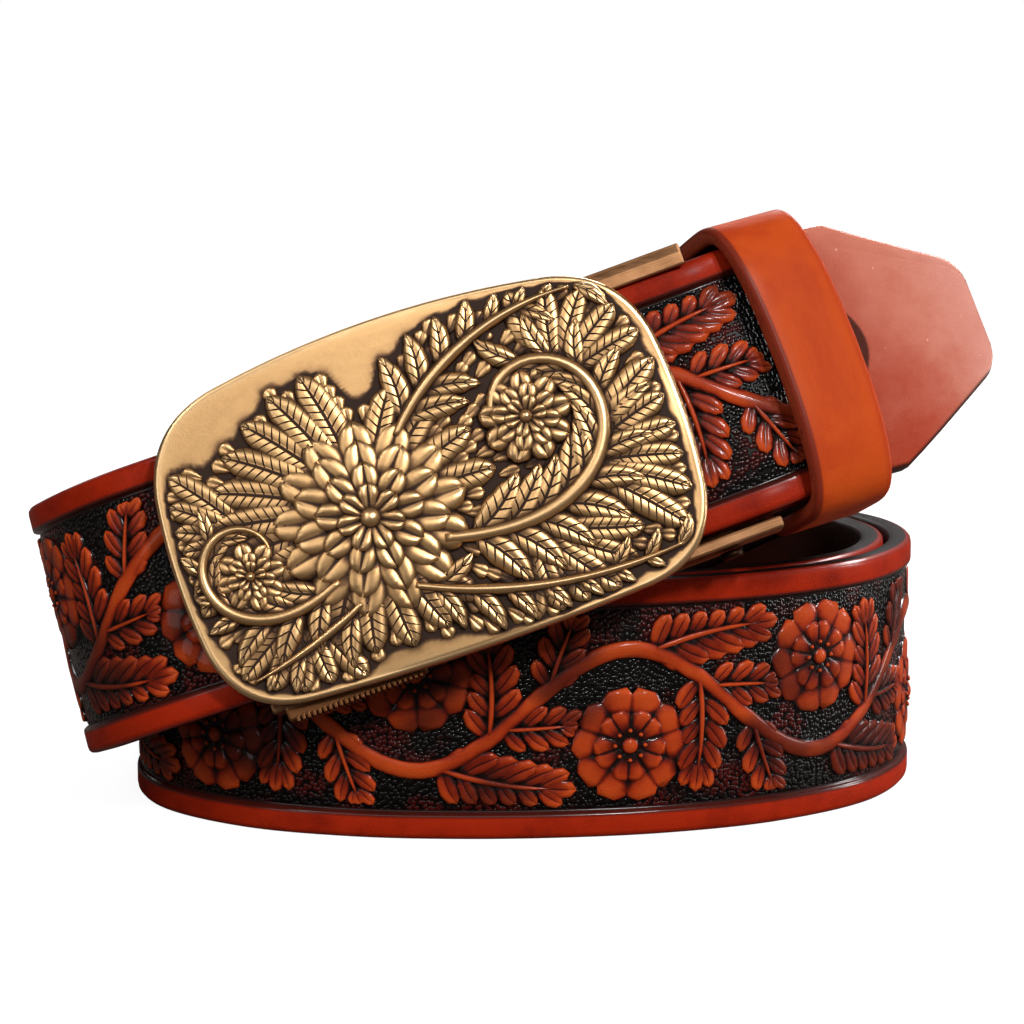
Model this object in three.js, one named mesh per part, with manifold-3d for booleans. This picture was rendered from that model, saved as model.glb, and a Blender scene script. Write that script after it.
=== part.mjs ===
// A leather belt, fastened and rolled up, with a cast brass plate buckle and a leather keeper loop.
// Millimetres, +Z up, +X to the right of the front view, the front faces -Y.
import * as THREE from 'three';
import Module from 'manifold-3d';

// Driving sizes
const strapWidth = 38;
const strapThick = 3.6;
const railWidth = 3.8;
const panelSink = 0.8;
const edgeBevel = 0.6;
const stationStep = 6;

const coilHalfLength = 61.3;
const coilHalfDepth = 44.4;
const coilShape = 2.2;
const coilSkew = 0.08;
const coilCentre = { x: 0.1, y: 1.6 };
const layerPitch = 4.4;
const coilTurn = { start: 205, end: 795, step: 20 };

const frameOrigin = new THREE.Vector3(-5, -44.3, 53.7);
const frameYaw = 3.8;
const frameRise = 19.9;
const frameTilt = 19.9;
const frameLean = 15;

const keeperX = 38.8;
const keeperWidth = 14;
const keeperThick = 2.7;
const keeperHalfHeight = 21.3;
const keeperHalfDepth = 10;
const keeperBack = 4.9;
const keeperShape = { inner: 6, outer: 4.4 };

const tipLength = 20.4;
const noseWidth = 16.8;
const noseRound = 2.6;

const railInner = 20;
const railThick = 1.7;
const railEnds = { left: -39.5, right: 37.5 };
const railFront = 3.1;
const bridge = { from: -32, to: -25, back: -4.3, thick: 1.7 };
const clamp = { from: 15, to: 31, back: -8.5, thick: 1.5 };
const bridgeOverlap = 0.4;
const teeth = { from: -37, to: -22.5, pitch: 1.5, width: 0.8, height: 0.6, back: -2 };
const screw = { u: 29.5, n: -2.2, headRadius: 1.5, rootRadius: 1.7, length: 1.1, gap: 0.3 };
const plateBack = 3.5;

// What brings the origin to the middle of the underside of the part's box
const partShift = new THREE.Vector3(2.5, 4.19, 0.034);

const radians = THREE.MathUtils.degToRad;

// Colours and finishes of the materials
const finishes = {
  leather: { color: 0x7d1f12, roughness: 0.42, metalness: 0 },
  keeperLeather: { color: 0xb8481f, roughness: 0.45, metalness: 0 },
  castBrass: { color: 0xb8935a, roughness: 0.34, metalness: 1 },
  frameBrass: { color: 0xb98d58, roughness: 0.38, metalness: 1 },
};

// The width direction of the strap from its tilt to the left and its lean to the back
function widthDirection(along, tilt, lean) {
  const width = new THREE.Vector3(-Math.tan(radians(tilt)), Math.tan(radians(lean)), 1);
  width.addScaledVector(along, -width.dot(along));
  return width.normalize();
}

// The axes of the buckle's frame: u along the strap, v across it, n out to the front
function frameAxes() {
  const flat = Math.cos(radians(frameRise));
  const u = new THREE.Vector3(
    flat * Math.cos(radians(frameYaw)),
    flat * Math.sin(radians(frameYaw)),
    Math.sin(radians(frameRise)),
  );
  const v = widthDirection(u, frameTilt, frameLean);
  const n = new THREE.Vector3().crossVectors(u, v);
  return { u, v, n };
}

const axes = frameAxes();

function framePoint(u, v, n) {
  return frameOrigin.clone()
    .addScaledVector(axes.u, u)
    .addScaledVector(axes.v, v)
    .addScaledVector(axes.n, n);
}

// A row of the strap's route inside the frame, n millimetres in front of the frame's middle
function frameRow(u, n) {
  const p = framePoint(u, 0, n);
  return { x: p.x, y: p.y, z: p.z, tilt: frameTilt, lean: frameLean };
}

// The strap's route, from the clamped end behind the buckle to the free tip
const clampedRows = [
  frameRow(17, -4.6),
  frameRow(27, -4.6),
  frameRow(36, -4.6),
  { x: 38, y: -32.8, z: 67.6, tilt: 19, lean: 14 },
  { x: 44.6, y: -26.2, z: 68.8, tilt: 16, lean: 12 },
  { x: 48.6, y: -17.5, z: 68.4, tilt: 13, lean: 8 },
  { x: 48.6, y: -8, z: 65.4, tilt: 11, lean: 6 },
  { x: 43.5, y: 2, z: 60.5, tilt: 9, lean: 4 },
  { x: 34, y: 10.5, z: 54, tilt: 7, lean: 2 },
  { x: 19, y: 16.5, z: 46, tilt: 5, lean: 1 },
  { x: 1, y: 19.5, z: 37, tilt: 3, lean: 0 },
  { x: -18, y: 19, z: 28.5, tilt: 2, lean: 0 },
  { x: -34, y: 12.5, z: 22.3, tilt: 1, lean: 0 },
  { x: -44.5, y: 0.5, z: 19.6, tilt: 0, lean: 0 },
];

const freeRows = [
  { x: -34, y: 46.5, z: 20.1, tilt: 3, lean: 2 },
  { x: -53, y: 38.5, z: 21.2, tilt: 7, lean: 4 },
  { x: -64.5, y: 22, z: 22.6, tilt: 11, lean: 7 },
  { x: -68.3, y: 3, z: 24.1, tilt: 13, lean: 9 },
  { x: -68.5, y: -15, z: 26.2, tilt: 14.5, lean: 10 },
  { x: -65, y: -32, z: 30, tilt: 15.5, lean: 12 },
  { x: -55, y: -43, z: 35.4, tilt: 17, lean: 13.5 },
  frameRow(-35, 0),
  frameRow(-12, 0),
  frameRow(12, 0),
  frameRow(35, 0),
  { x: 37.5, y: -38.9, z: 68.8, tilt: 21, lean: 15 },
  { x: 50, y: -32.6, z: 71.2, tilt: 22.5, lean: 16 },
  { x: 67.3, y: -23.2, z: 74.9, tilt: 22.5, lean: 16 },
];

function coilRows() {
  const rows = [];
  const count = Math.round((coilTurn.end - coilTurn.start) / coilTurn.step);
  for (let i = 0; i <= count; i++) {
    const angle = coilTurn.start + (coilTurn.end - coilTurn.start) * i / count;
    const inside = layerPitch * (coilTurn.end - angle) / 360;
    const c = Math.cos(radians(angle));
    const s = Math.sin(radians(angle));
    const across = Math.abs(c / (coilHalfLength - inside)) ** coilShape;
    const deep = Math.abs(s / (coilHalfDepth - inside)) ** coilShape;
    const reach = (across + deep) ** (-1 / coilShape);
    rows.push({
      x: coilCentre.x + reach * c,
      y: coilCentre.y + reach * s + coilSkew * reach * c,
      z: strapWidth / 2,
      tilt: 0,
      lean: 0,
    });
  }
  return rows;
}

// A smooth curve through all the rows, by the centripetal Catmull-Rom rule
const channels = ['x', 'y', 'z', 'tilt', 'lean'];

function mixRows(a, b, t) {
  const row = {};
  for (const name of channels) row[name] = a[name] + (b[name] - a[name]) * t;
  return row;
}

function rowDistance(a, b) {
  return Math.hypot(b.x - a.x, b.y - a.y, b.z - a.z);
}

function curveThrough(rows, perSpan) {
  const last = rows.length - 1;
  const all = [mixRows(rows[0], rows[1], -1), ...rows, mixRows(rows[last], rows[last - 1], -1)];
  const out = [];
  for (let i = 1; i < all.length - 2; i++) {
    const p = [all[i - 1], all[i], all[i + 1], all[i + 2]];
    const knot = [0];
    for (let k = 0; k < 3; k++) knot.push(knot[k] + Math.sqrt(rowDistance(p[k], p[k + 1])));
    for (let k = 0; k < perSpan; k++) {
      const t = knot[1] + (knot[2] - knot[1]) * k / perSpan;
      const blend = (a, b, from, to) => mixRows(a, b, (t - from) / (to - from));
      const a = [0, 1, 2].map((j) => blend(p[j], p[j + 1], knot[j], knot[j + 1]));
      const b = [0, 1].map((j) => blend(a[j], a[j + 1], knot[j], knot[j + 2]));
      out.push(blend(b[0], b[1], knot[1], knot[2]));
    }
  }
  out.push(all[last + 1]);
  return out;
}

// The route as a lookup by length: its place, its three directions
function strapRoute() {
  const rows = curveThrough([...clampedRows, ...coilRows(), ...freeRows], 12);
  const length = [0];
  for (let i = 1; i < rows.length; i++) length.push(length[i - 1] + rowDistance(rows[i - 1], rows[i]));
  const total = length[rows.length - 1];
  function rowAt(s) {
    const want = Math.min(Math.max(s, 0), total);
    let i = 1;
    while (i < rows.length - 1 && length[i] < want) i++;
    return mixRows(rows[i - 1], rows[i], (want - length[i - 1]) / (length[i] - length[i - 1]));
  }
  function at(s) {
    const row = rowAt(s);
    const before = rowAt(s - 2);
    const after = rowAt(s + 2);
    const along = new THREE.Vector3(after.x - before.x, after.y - before.y, after.z - before.z);
    along.normalize();
    const width = widthDirection(along, row.tilt, row.lean);
    const out = new THREE.Vector3().crossVectors(along, width);
    return { place: new THREE.Vector3(row.x, row.y, row.z), along, width, out };
  }
  return { total, at };
}

const route = strapRoute();

function offset(station, along, width, out) {
  return station.place.clone()
    .addScaledVector(station.along, along)
    .addScaledVector(station.width, width)
    .addScaledVector(station.out, out);
}

// A closed mesh from rings of points. Each ring runs counterclockwise about the travel direction.
function skin(rings, closed, capShape) {
  const size = rings[0].length;
  const positions = rings.flat().flatMap((p) => [p.x, p.y, p.z]);
  const faces = [];
  const spans = closed ? rings.length : rings.length - 1;
  for (let i = 0; i < spans; i++) {
    const here = i * size;
    const next = ((i + 1) % rings.length) * size;
    for (let j = 0; j < size; j++) {
      const k = (j + 1) % size;
      faces.push(here + j, here + k, next + k);
      faces.push(here + j, next + k, next + j);
    }
  }
  if (!closed) {
    const end = (rings.length - 1) * size;
    for (const [a, b, c] of THREE.ShapeUtils.triangulateShape(capShape, [])) {
      faces.push(a, c, b);
      faces.push(end + a, end + b, end + c);
    }
  }
  const geometry = new THREE.BufferGeometry();
  geometry.setAttribute('position', new THREE.Float32BufferAttribute(positions, 3));
  geometry.setIndex(faces);
  return geometry;
}

// The strap's section: raised rails along both edges, a sunk panel between them on the outside
function strapSection(halfWidth, sink) {
  const h = strapThick / 2;
  const slope = sink * 0.7;
  const railIn = Math.max(halfWidth - railWidth, halfWidth * 0.5);
  return [
    [halfWidth, edgeBevel - h],
    [halfWidth, h - edgeBevel],
    [halfWidth - edgeBevel, h],
    [railIn, h],
    [railIn - slope, h - sink],
    [slope - railIn, h - sink],
    [-railIn, h],
    [edgeBevel - halfWidth, h],
    [-halfWidth, h - edgeBevel],
    [-halfWidth, edgeBevel - h],
    [edgeBevel - halfWidth, -h],
    [halfWidth - edgeBevel, -h],
  ];
}

// Half the strap's width, s millimetres from its start: straight, then the two slanted sides of the tip
function halfWidthAt(s) {
  const left = route.total - s;
  const full = strapWidth / 2;
  const nose = noseWidth / 2;
  const slanted = nose + (full - nose) * Math.min(left / tipLength, 1);
  if (left >= noseRound) return slanted;
  const drop = noseRound - Math.sqrt(Math.max(noseRound ** 2 - (noseRound - left) ** 2, 0));
  return slanted - drop;
}

// The length along the free end at which the strap's middle passes this x
function lengthAtX(x) {
  let s = route.total;
  while (route.at(s).place.x > x) s -= 0.25;
  return s;
}

const keeperStart = lengthAtX(keeperX);

function strapGeometry() {
  const plainFrom = keeperStart + keeperWidth / 2;
  const tipFrom = route.total - tipLength;
  const lengths = [];
  const count = Math.ceil(tipFrom / stationStep);
  for (let i = 0; i <= count; i++) lengths.push(tipFrom * i / count);
  for (const left of [12, 6, 2.6, 1.5, 0.7, 0.2, 0]) lengths.push(route.total - left);
  const rings = lengths.map((s) => {
    const station = route.at(s);
    const sink = s < plainFrom ? panelSink : 0.05;
    return strapSection(halfWidthAt(s), sink).map(([w, h]) => offset(station, 0, w, h));
  });
  const cap = strapSection(strapWidth / 2, panelSink).map(([w, h]) => new THREE.Vector2(w, h));
  return skin(rings, false, cap);
}

// The keeper: one band of leather round both layers of the strap
function keeperGeometry() {
  const station = route.at(keeperStart);
  const half = keeperWidth / 2;
  const t = keeperThick / 2;
  const round = 0.5;
  const section = [
    [half, round - t], [half, t - round], [half - round, t], [round - half, t],
    [-half, t - round], [-half, round - t], [round - half, -t], [half - round, -t],
  ];
  const rings = [];
  const count = 48;
  for (let i = 0; i < count; i++) {
    const angle = 2 * Math.PI * i / count;
    const c = Math.cos(angle);
    const s = Math.sin(angle);
    rings.push(section.map(([along, thick]) => {
      const power = 2 / (thick < 0 ? keeperShape.inner : keeperShape.outer);
      const out = (keeperHalfDepth + thick) * Math.sign(c) * Math.abs(c) ** power;
      const width = (keeperHalfHeight + thick) * Math.sign(s) * Math.abs(s) ** power;
      return offset(station, along, -width, out - keeperBack);
    }));
  }
  return skin(rings, true);
}

// Boolean helpers
const wasm = await Module();
wasm.setup();

function toSolid(geometry) {
  const triVerts = new Uint32Array(geometry.index.array);
  const vertProperties = new Float32Array(geometry.attributes.position.array);
  return new wasm.Manifold(new wasm.Mesh({ numProp: 3, vertProperties, triVerts }));
}

function toGeometry(solid) {
  const mesh = solid.getMesh();
  const geometry = new THREE.BufferGeometry();
  geometry.setAttribute('position', new THREE.Float32BufferAttribute(mesh.vertProperties, 3));
  geometry.setIndex(Array.from(mesh.triVerts));
  return geometry;
}

// A block in the frame's own directions
function frameBlock(u0, u1, v0, v1, n0, n1) {
  const corner = (u, v, n) => framePoint(u, v, n);
  const rings = [u0, u1].map((u) => [
    corner(u, v1, n0), corner(u, v1, n1), corner(u, v0, n1), corner(u, v0, n0),
  ]);
  const cap = [[v1, n0], [v1, n1], [v0, n1], [v0, n0]].map(([v, n]) => new THREE.Vector2(v, n));
  return toSolid(skin(rings, false, cap));
}

// The frame: two rails beside the strap, a thin bridge on the left and the clamp's deeper one on the right
function frameGeometry() {
  const outer = railInner + railThick;
  const reach = railInner + bridgeOverlap;
  let solid = frameBlock(bridge.from, bridge.to, -reach, reach, bridge.back, bridge.back + bridge.thick);
  solid = solid.add(frameBlock(clamp.from, clamp.to, -reach, reach, clamp.back, clamp.back + clamp.thick));
  for (const [v0, v1] of [[railInner, outer], [-outer, -railInner]]) {
    solid = solid.add(frameBlock(railEnds.left, railEnds.right, v0, v1, bridge.back, railFront));
    solid = solid.add(frameBlock(clamp.from, clamp.to, v0, v1, clamp.back, railFront));
  }
  for (let u = teeth.from; u < teeth.to; u += teeth.pitch) {
    const tip = -outer - teeth.height;
    solid = solid.add(frameBlock(u, u + teeth.width, tip, -reach, teeth.back, railFront));
  }
  return toGeometry(solid);
}

// The screw that holds the clamp, under the lower rail
function screwGeometry() {
  const geometry = new THREE.CylinderGeometry(screw.headRadius, screw.rootRadius, screw.length, 20);
  const turn = new THREE.Quaternion().setFromUnitVectors(new THREE.Vector3(0, 1, 0), axes.v.clone().negate());
  const v = -railInner - railThick - screw.gap - screw.length / 2;
  const place = framePoint(screw.u, v, screw.n);
  geometry.applyQuaternion(turn);
  geometry.translate(place.x, place.y, place.z);
  return geometry;
}

// The plate: a cushion outline with bowed sides, a bevelled rim and a low crown
const plateMiddle = { u: -7.9, v: 0.9 };
const plateTurn = -1.5;
const plateSides = {
  halfLength: 35.3,
  top: 20.8,
  bottom: -22.6,
  topBow: 4.5,
  bottomBow: 1.7,
  endBow: 2.7,
};
const plateHeights = { rim: 2, bevel: 2.5, crown: 0.9 };
const cornerReach = 10;

function plateOutline(perSide) {
  const p = plateSides;
  const corners = [
    [-p.halfLength, p.bottom], [p.halfLength, p.bottom], [p.halfLength, p.top], [-p.halfLength, p.top],
  ];
  const bows = [p.bottomBow, p.endBow, p.topBow, p.endBow];
  const sides = corners.map((a, i) => {
    const b = corners[(i + 1) % 4];
    const span = Math.hypot(b[0] - a[0], b[1] - a[1]);
    const out = [(b[1] - a[1]) / span, (a[0] - b[0]) / span];
    return (t) => {
      const bulge = bows[i] * 4 * t * (1 - t);
      const x = a[0] + (b[0] - a[0]) * t + out[0] * bulge;
      const y = a[1] + (b[1] - a[1]) * t + out[1] * bulge;
      return new THREE.Vector2(x, y);
    };
  });
  const points = [];
  const cut = [0, 1, 0, 1].map((end) => cornerReach / (end ? p.top - p.bottom : 2 * p.halfLength));
  for (let i = 0; i < 4; i++) {
    for (let k = 0; k <= perSide; k++) points.push(sides[i](cut[i] + (1 - 2 * cut[i]) * k / perSide));
    const next = (i + 1) % 4;
    const from = sides[i](1 - cut[i]);
    const to = sides[next](cut[next]);
    const corner = new THREE.Vector2(...corners[next]);
    for (let k = 1; k < 5; k++) {
      const t = k / 5;
      const a = from.clone().lerp(corner, t);
      points.push(a.lerp(corner.clone().lerp(to, t), t));
    }
  }
  return points;
}

// A point of the plate: x along it, y across it, height above its flat back
function platePoint(x, y, height) {
  const c = Math.cos(radians(plateTurn));
  const s = Math.sin(radians(plateTurn));
  const u = plateMiddle.u + x * c - y * s;
  const v = plateMiddle.v + x * s + y * c;
  return framePoint(u, v, plateBack + height);
}

// The plate's face between the bevel and the crown's top
function faceHeight(x, y) {
  const far = Math.min((x / 38) ** 2 + (y / 25) ** 2, 1);
  return plateHeights.bevel + plateHeights.crown * (1 - far);
}

function plateBody() {
  const outline = plateOutline(8);
  const levels = [
    { scale: 0.5, height: 0 },
    { scale: 1, height: 0 },
    { scale: 1, height: plateHeights.rim },
    { scale: 0.982, height: plateHeights.bevel },
    { scale: 0.8 },
    { scale: 0.5 },
    { scale: 0.15 },
  ];
  const rings = levels.map(({ scale, height }) => outline.map((p) => {
    const x = p.x * scale;
    const y = p.y * scale;
    return platePoint(x, y, height ?? faceHeight(x, y));
  }));
  return toSolid(skin(rings, false, outline));
}

// Steps along a bending line: its heading turns by `turn` and curls by `curl` degrees over its length
function walkTo(line, part) {
  const { x, y, angle, length, turn = 0, curl = 0 } = line;
  const steps = Math.max(1, Math.ceil(24 * part));
  const step = part / steps;
  const at = { x, y, heading: angle + turn * part + curl * part * part };
  for (let i = 0; i < steps; i++) {
    const t = (i + 0.5) * step;
    const heading = radians(angle + turn * t + curl * t * t);
    at.x += Math.cos(heading) * length * step;
    at.y += Math.sin(heading) * length * step;
  }
  return at;
}

// One raised ridge along a bending line, its profile a table of width and height by part of the length
const leafProfile = [
  { t: 0, wide: 0.4, high: 0.6 },
  { t: 0.35, wide: 1, high: 1 },
  { t: 0.72, wide: 0.8, high: 0.9 },
  { t: 1, wide: 0.1, high: 0.5 },
];
const petalProfile = [
  { t: 0, wide: 0.3, high: 0.7 },
  { t: 0.5, wide: 0.9, high: 0.9 },
  { t: 0.82, wide: 0.9, high: 1 },
  { t: 1, wide: 0.35, high: 0.8 },
];
const stemProfile = Array.from({ length: 12 }, (_, i) => ({ t: i / 11, wide: 1 - 0.5 * i / 11, high: 1 }));

function ridgeSolid(line, profile) {
  const sink = 1.2;
  const rings = profile.map(({ t, wide, high }) => {
    const here = walkTo(line, t);
    const heading = radians(here.heading);
    const side = [-Math.sin(heading), Math.cos(heading)];
    const half = wide * line.width / 2;
    const base = faceHeight(here.x, here.y);
    const at = (k, h) => platePoint(here.x + side[0] * half * k, here.y + side[1] * half * k, base + h);
    const top = high * line.height;
    return [at(1, -sink), at(1, top * 0.45), at(0, top), at(-1, top * 0.45), at(-1, -sink)];
  });
  const cap = [[1, -1], [1, 0.5], [0, 1], [-1, 0.5], [-1, -1]].map(([a, b]) => new THREE.Vector2(a, b));
  return toSolid(skin(rings, false, cap));
}

// The raised ornament in its coarse form: rosettes, fans of plumes and scrolled stems with leaves
const rosettes = [
  { x: -9, y: -2, rings: [
    { petals: 11, length: 11.2, width: 7, height: 1.4 },
    { petals: 9, length: 8, width: 5.5, height: 1.9 },
  ] },
  { x: 16.2, y: 4.6, rings: [{ petals: 8, length: 6, width: 4.4, height: 1.6 }] },
  { x: -27.6, y: -4.4, rings: [{ petals: 7, length: 4.4, width: 3.4, height: 1.4 }] },
];
const fans = [
  { x: -9, y: -2, first: 92, last: 186, count: 8, length: 19, width: 5.4, turn: 16, start: 4 },
  { x: -9, y: -2, first: 10, last: 70, count: 4, length: 15, width: 5, turn: -16, start: 4 },
  { x: -9, y: -2, first: 232, last: 300, count: 5, length: 15, width: 5, turn: 12, start: 4 },
  { x: 20, y: -4, first: -40, last: 40, count: 6, length: 17, width: 5, turn: -14, start: 3 },
];
const stems = [
  { x: 0, y: -8, angle: -14, length: 66, turn: 36, curl: 330, leaves: 6, leaf: 11.5, width: 2.6, last: 0.72 },
  { x: -16, y: -9, angle: 205, length: 40, turn: -60, curl: -250, leaves: 5, leaf: 9, width: 2.2, last: 0.7 },
  { x: -2, y: 8, angle: 48, length: 38, turn: -58, curl: 0, leaves: 4, leaf: 9.5, width: 2, last: 0.9 },
  { x: -6, y: -13, angle: -26, length: 42, turn: 36, curl: 0, leaves: 4, leaf: 8, width: 1.8, last: 0.9 },
  { x: -14, y: -13, angle: 206, length: 22, turn: -20, curl: 0, leaves: 3, leaf: 8, width: 1.6, last: 0.9 },
];
const leafHeight = { plume: 0.8, leaf: 1.1, stem: 1.5 };

function fanRidges({ x, y, first, last, count, length, width, turn, start }) {
  return Array.from({ length: count }, (_, i) => {
    const angle = first + (last - first) * i / (count - 1);
    const from = { x: x + Math.cos(radians(angle)) * start, y: y + Math.sin(radians(angle)) * start };
    return ridgeSolid({ ...from, angle, length, width, turn, height: leafHeight.plume }, leafProfile);
  });
}

function stemRidges(stem) {
  const ridges = [ridgeSolid({ ...stem, height: leafHeight.stem }, stemProfile)];
  for (let i = 0; i < stem.leaves; i++) {
    const part = 0.06 + (stem.last - 0.06) * i / (stem.leaves - 1);
    const root = walkTo(stem, part);
    const length = stem.leaf * (1 - 0.45 * part);
    const side = i % 2 ? 1 : -1;
    const leaf = { x: root.x, y: root.y, angle: root.heading + side * 30, length, turn: side * 34 };
    ridges.push(ridgeSolid({ ...leaf, width: length * 0.42, height: leafHeight.leaf }, leafProfile));
  }
  return ridges;
}

function rosetteRidges({ x, y, rings }) {
  return rings.flatMap(({ petals, length, width, height }, k) => Array.from({ length: petals }, (_, i) => {
    const angle = 360 * (i + 0.5 * (k % 2)) / petals;
    return ridgeSolid({ x, y, angle, length, width, height }, petalProfile);
  }));
}

// The space above the plate's face inside the rim, which the ornament keeps to
function ornamentRoom() {
  const outline = plateOutline(8);
  const inset = 0.965;
  const rings = [0.5, 8].map((height) => outline.map((p) => platePoint(p.x * inset, p.y * inset, height)));
  return toSolid(skin(rings, false, outline));
}

function plateGeometry() {
  const fanned = fans.flatMap(fanRidges);
  const scrolled = stems.flatMap(stemRidges);
  const flowers = rosettes.flatMap(rosetteRidges);
  const ornament = [...fanned, ...scrolled, ...flowers].reduce((sum, ridge) => sum.add(ridge));
  return toGeometry(plateBody().add(ornament.intersect(ornamentRoom())));
}

function addPiece(parent, name, geometry, finish) {
  const mesh = new THREE.Mesh(geometry, new THREE.MeshStandardMaterial(finishes[finish]));
  mesh.name = name;
  parent.add(mesh);
}

const group = new THREE.Group();
group.name = 'belt';
addPiece(group, 'strap', strapGeometry(), 'leather');
addPiece(group, 'keeper', keeperGeometry(), 'keeperLeather');
addPiece(group, 'buckle_plate', plateGeometry(), 'castBrass');
addPiece(group, 'buckle_frame', frameGeometry(), 'frameBrass');
addPiece(group, 'clamp_screw', screwGeometry(), 'frameBrass');
group.position.copy(partShift);

export default group;
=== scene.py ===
# A tooled leather ratchet belt, fastened and coiled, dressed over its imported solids.
import math
import random

import bmesh
import bpy
import numpy as np
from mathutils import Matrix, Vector


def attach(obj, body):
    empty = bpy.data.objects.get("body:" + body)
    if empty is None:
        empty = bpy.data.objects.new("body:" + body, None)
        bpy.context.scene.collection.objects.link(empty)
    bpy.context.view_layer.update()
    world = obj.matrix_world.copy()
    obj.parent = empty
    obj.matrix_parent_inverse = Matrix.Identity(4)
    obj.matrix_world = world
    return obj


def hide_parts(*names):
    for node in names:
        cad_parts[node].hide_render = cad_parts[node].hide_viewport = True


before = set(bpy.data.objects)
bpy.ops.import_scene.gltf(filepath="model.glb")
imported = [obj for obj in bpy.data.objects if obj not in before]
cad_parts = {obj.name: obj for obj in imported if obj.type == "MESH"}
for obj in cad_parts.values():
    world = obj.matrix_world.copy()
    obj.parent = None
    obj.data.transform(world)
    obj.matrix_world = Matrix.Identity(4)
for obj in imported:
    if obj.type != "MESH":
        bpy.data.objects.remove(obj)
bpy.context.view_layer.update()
scene = bpy.context.scene
mm = 0.001
random.seed(11)

# Shared sizes in millimetres and degrees, the same as in the part's source
partShift = np.array((2.5, 4.19, 0.034))
strapSet = {
    "width": 38, "thick": 3.6, "rail": 3.8, "sink": 0.8, "step": 1.6,
    "tip": 20.4, "nose": 16.8, "noseRound": 2.6, "panel": 14.85,
}
coilSet = {
    "halfLength": 61.3, "halfDepth": 44.4, "shape": 2.2, "skew": 0.08, "middle": (0.1, 1.6),
    "pitch": 4.4, "start": 205, "end": 795, "step": 20,
}
buckleSpot = {"origin": (-5, -44.3, 53.7), "yaw": 3.8, "rise": 19.9, "tilt": 19.9, "lean": 15}
keeperSet = {
    "x": 38.8, "width": 14, "thick": 2.7, "halfHeight": 21.3, "halfDepth": 10, "back": 4.9,
    "inner": 6, "outer": 4.4,
}
# Points in each span of the route, its table's step, and how far each way a heading is measured
routeSet = {"perSpan": 12, "step": 0.5, "reach": 2}


def unit(vectors):
    return vectors / np.linalg.norm(vectors, axis=-1, keepdims=True)


def widthOf(along, tilt, lean):  # the strap's width direction from its tilt to the left and its lean back
    tilt, lean = np.radians(tilt), np.radians(lean)
    width = np.stack([-np.tan(tilt), np.tan(lean), np.ones_like(tilt)], axis=-1)
    width = width - along * np.sum(width * along, axis=-1, keepdims=True)
    return unit(width)


def buckleAxes():
    rise, yaw = math.radians(buckleSpot["rise"]), math.radians(buckleSpot["yaw"])
    u = np.array((math.cos(rise) * math.cos(yaw), math.cos(rise) * math.sin(yaw), math.sin(rise)))
    v = widthOf(u, np.float64(buckleSpot["tilt"]), np.float64(buckleSpot["lean"]))
    return u, v, np.cross(u, v)


axisU, axisV, axisN = buckleAxes()


def inBuckle(flat):  # u along the strap, v across it, n out to the front
    origin = np.array(buckleSpot["origin"])
    return origin + flat[:, :1] * axisU + flat[:, 1:2] * axisV + flat[:, 2:3] * axisN


# The strap's route: rows of x, y, z, tilt, lean
def buckleRow(u, n):
    x, y, z = inBuckle(np.array([[u, 0, n]], dtype=float))[0]
    return (x, y, z, buckleSpot["tilt"], buckleSpot["lean"])


clampedRows = [
    buckleRow(17, -4.6), buckleRow(27, -4.6), buckleRow(36, -4.6),
    (38, -32.8, 67.6, 19, 14), (44.6, -26.2, 68.8, 16, 12), (48.6, -17.5, 68.4, 13, 8),
    (48.6, -8, 65.4, 11, 6), (43.5, 2, 60.5, 9, 4), (34, 10.5, 54, 7, 2), (19, 16.5, 46, 5, 1),
    (1, 19.5, 37, 3, 0), (-18, 19, 28.5, 2, 0), (-34, 12.5, 22.3, 1, 0), (-44.5, 0.5, 19.6, 0, 0),
]
freeRows = [
    (-34, 46.5, 20.1, 3, 2), (-53, 38.5, 21.2, 7, 4), (-64.5, 22, 22.6, 11, 7),
    (-68.3, 3, 24.1, 13, 9), (-68.5, -15, 26.2, 14.5, 10), (-65, -32, 30, 15.5, 12),
    (-55, -43, 35.4, 17, 13.5),
    buckleRow(-35, 0), buckleRow(-12, 0), buckleRow(12, 0), buckleRow(35, 0),
    (37.5, -38.9, 68.8, 21, 15), (50, -32.6, 71.2, 22.5, 16), (67.3, -23.2, 74.9, 22.5, 16),
]


def coilRows():
    rows = []
    count = round((coilSet["end"] - coilSet["start"]) / coilSet["step"])
    for i in range(count + 1):
        angle = coilSet["start"] + (coilSet["end"] - coilSet["start"]) * i / count
        inside = coilSet["pitch"] * (coilSet["end"] - angle) / 360
        c, s = math.cos(math.radians(angle)), math.sin(math.radians(angle))
        across = abs(c / (coilSet["halfLength"] - inside)) ** coilSet["shape"]
        deep = abs(s / (coilSet["halfDepth"] - inside)) ** coilSet["shape"]
        reach = (across + deep) ** (-1 / coilSet["shape"])
        x = coilSet["middle"][0] + reach * c
        y = coilSet["middle"][1] + reach * s + coilSet["skew"] * reach * c
        rows.append((x, y, strapSet["width"] / 2, 0, 0))
    return rows


def blend(a, b, low, high, t):
    return a + (b - a) * (t - low) / (high - low)


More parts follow.
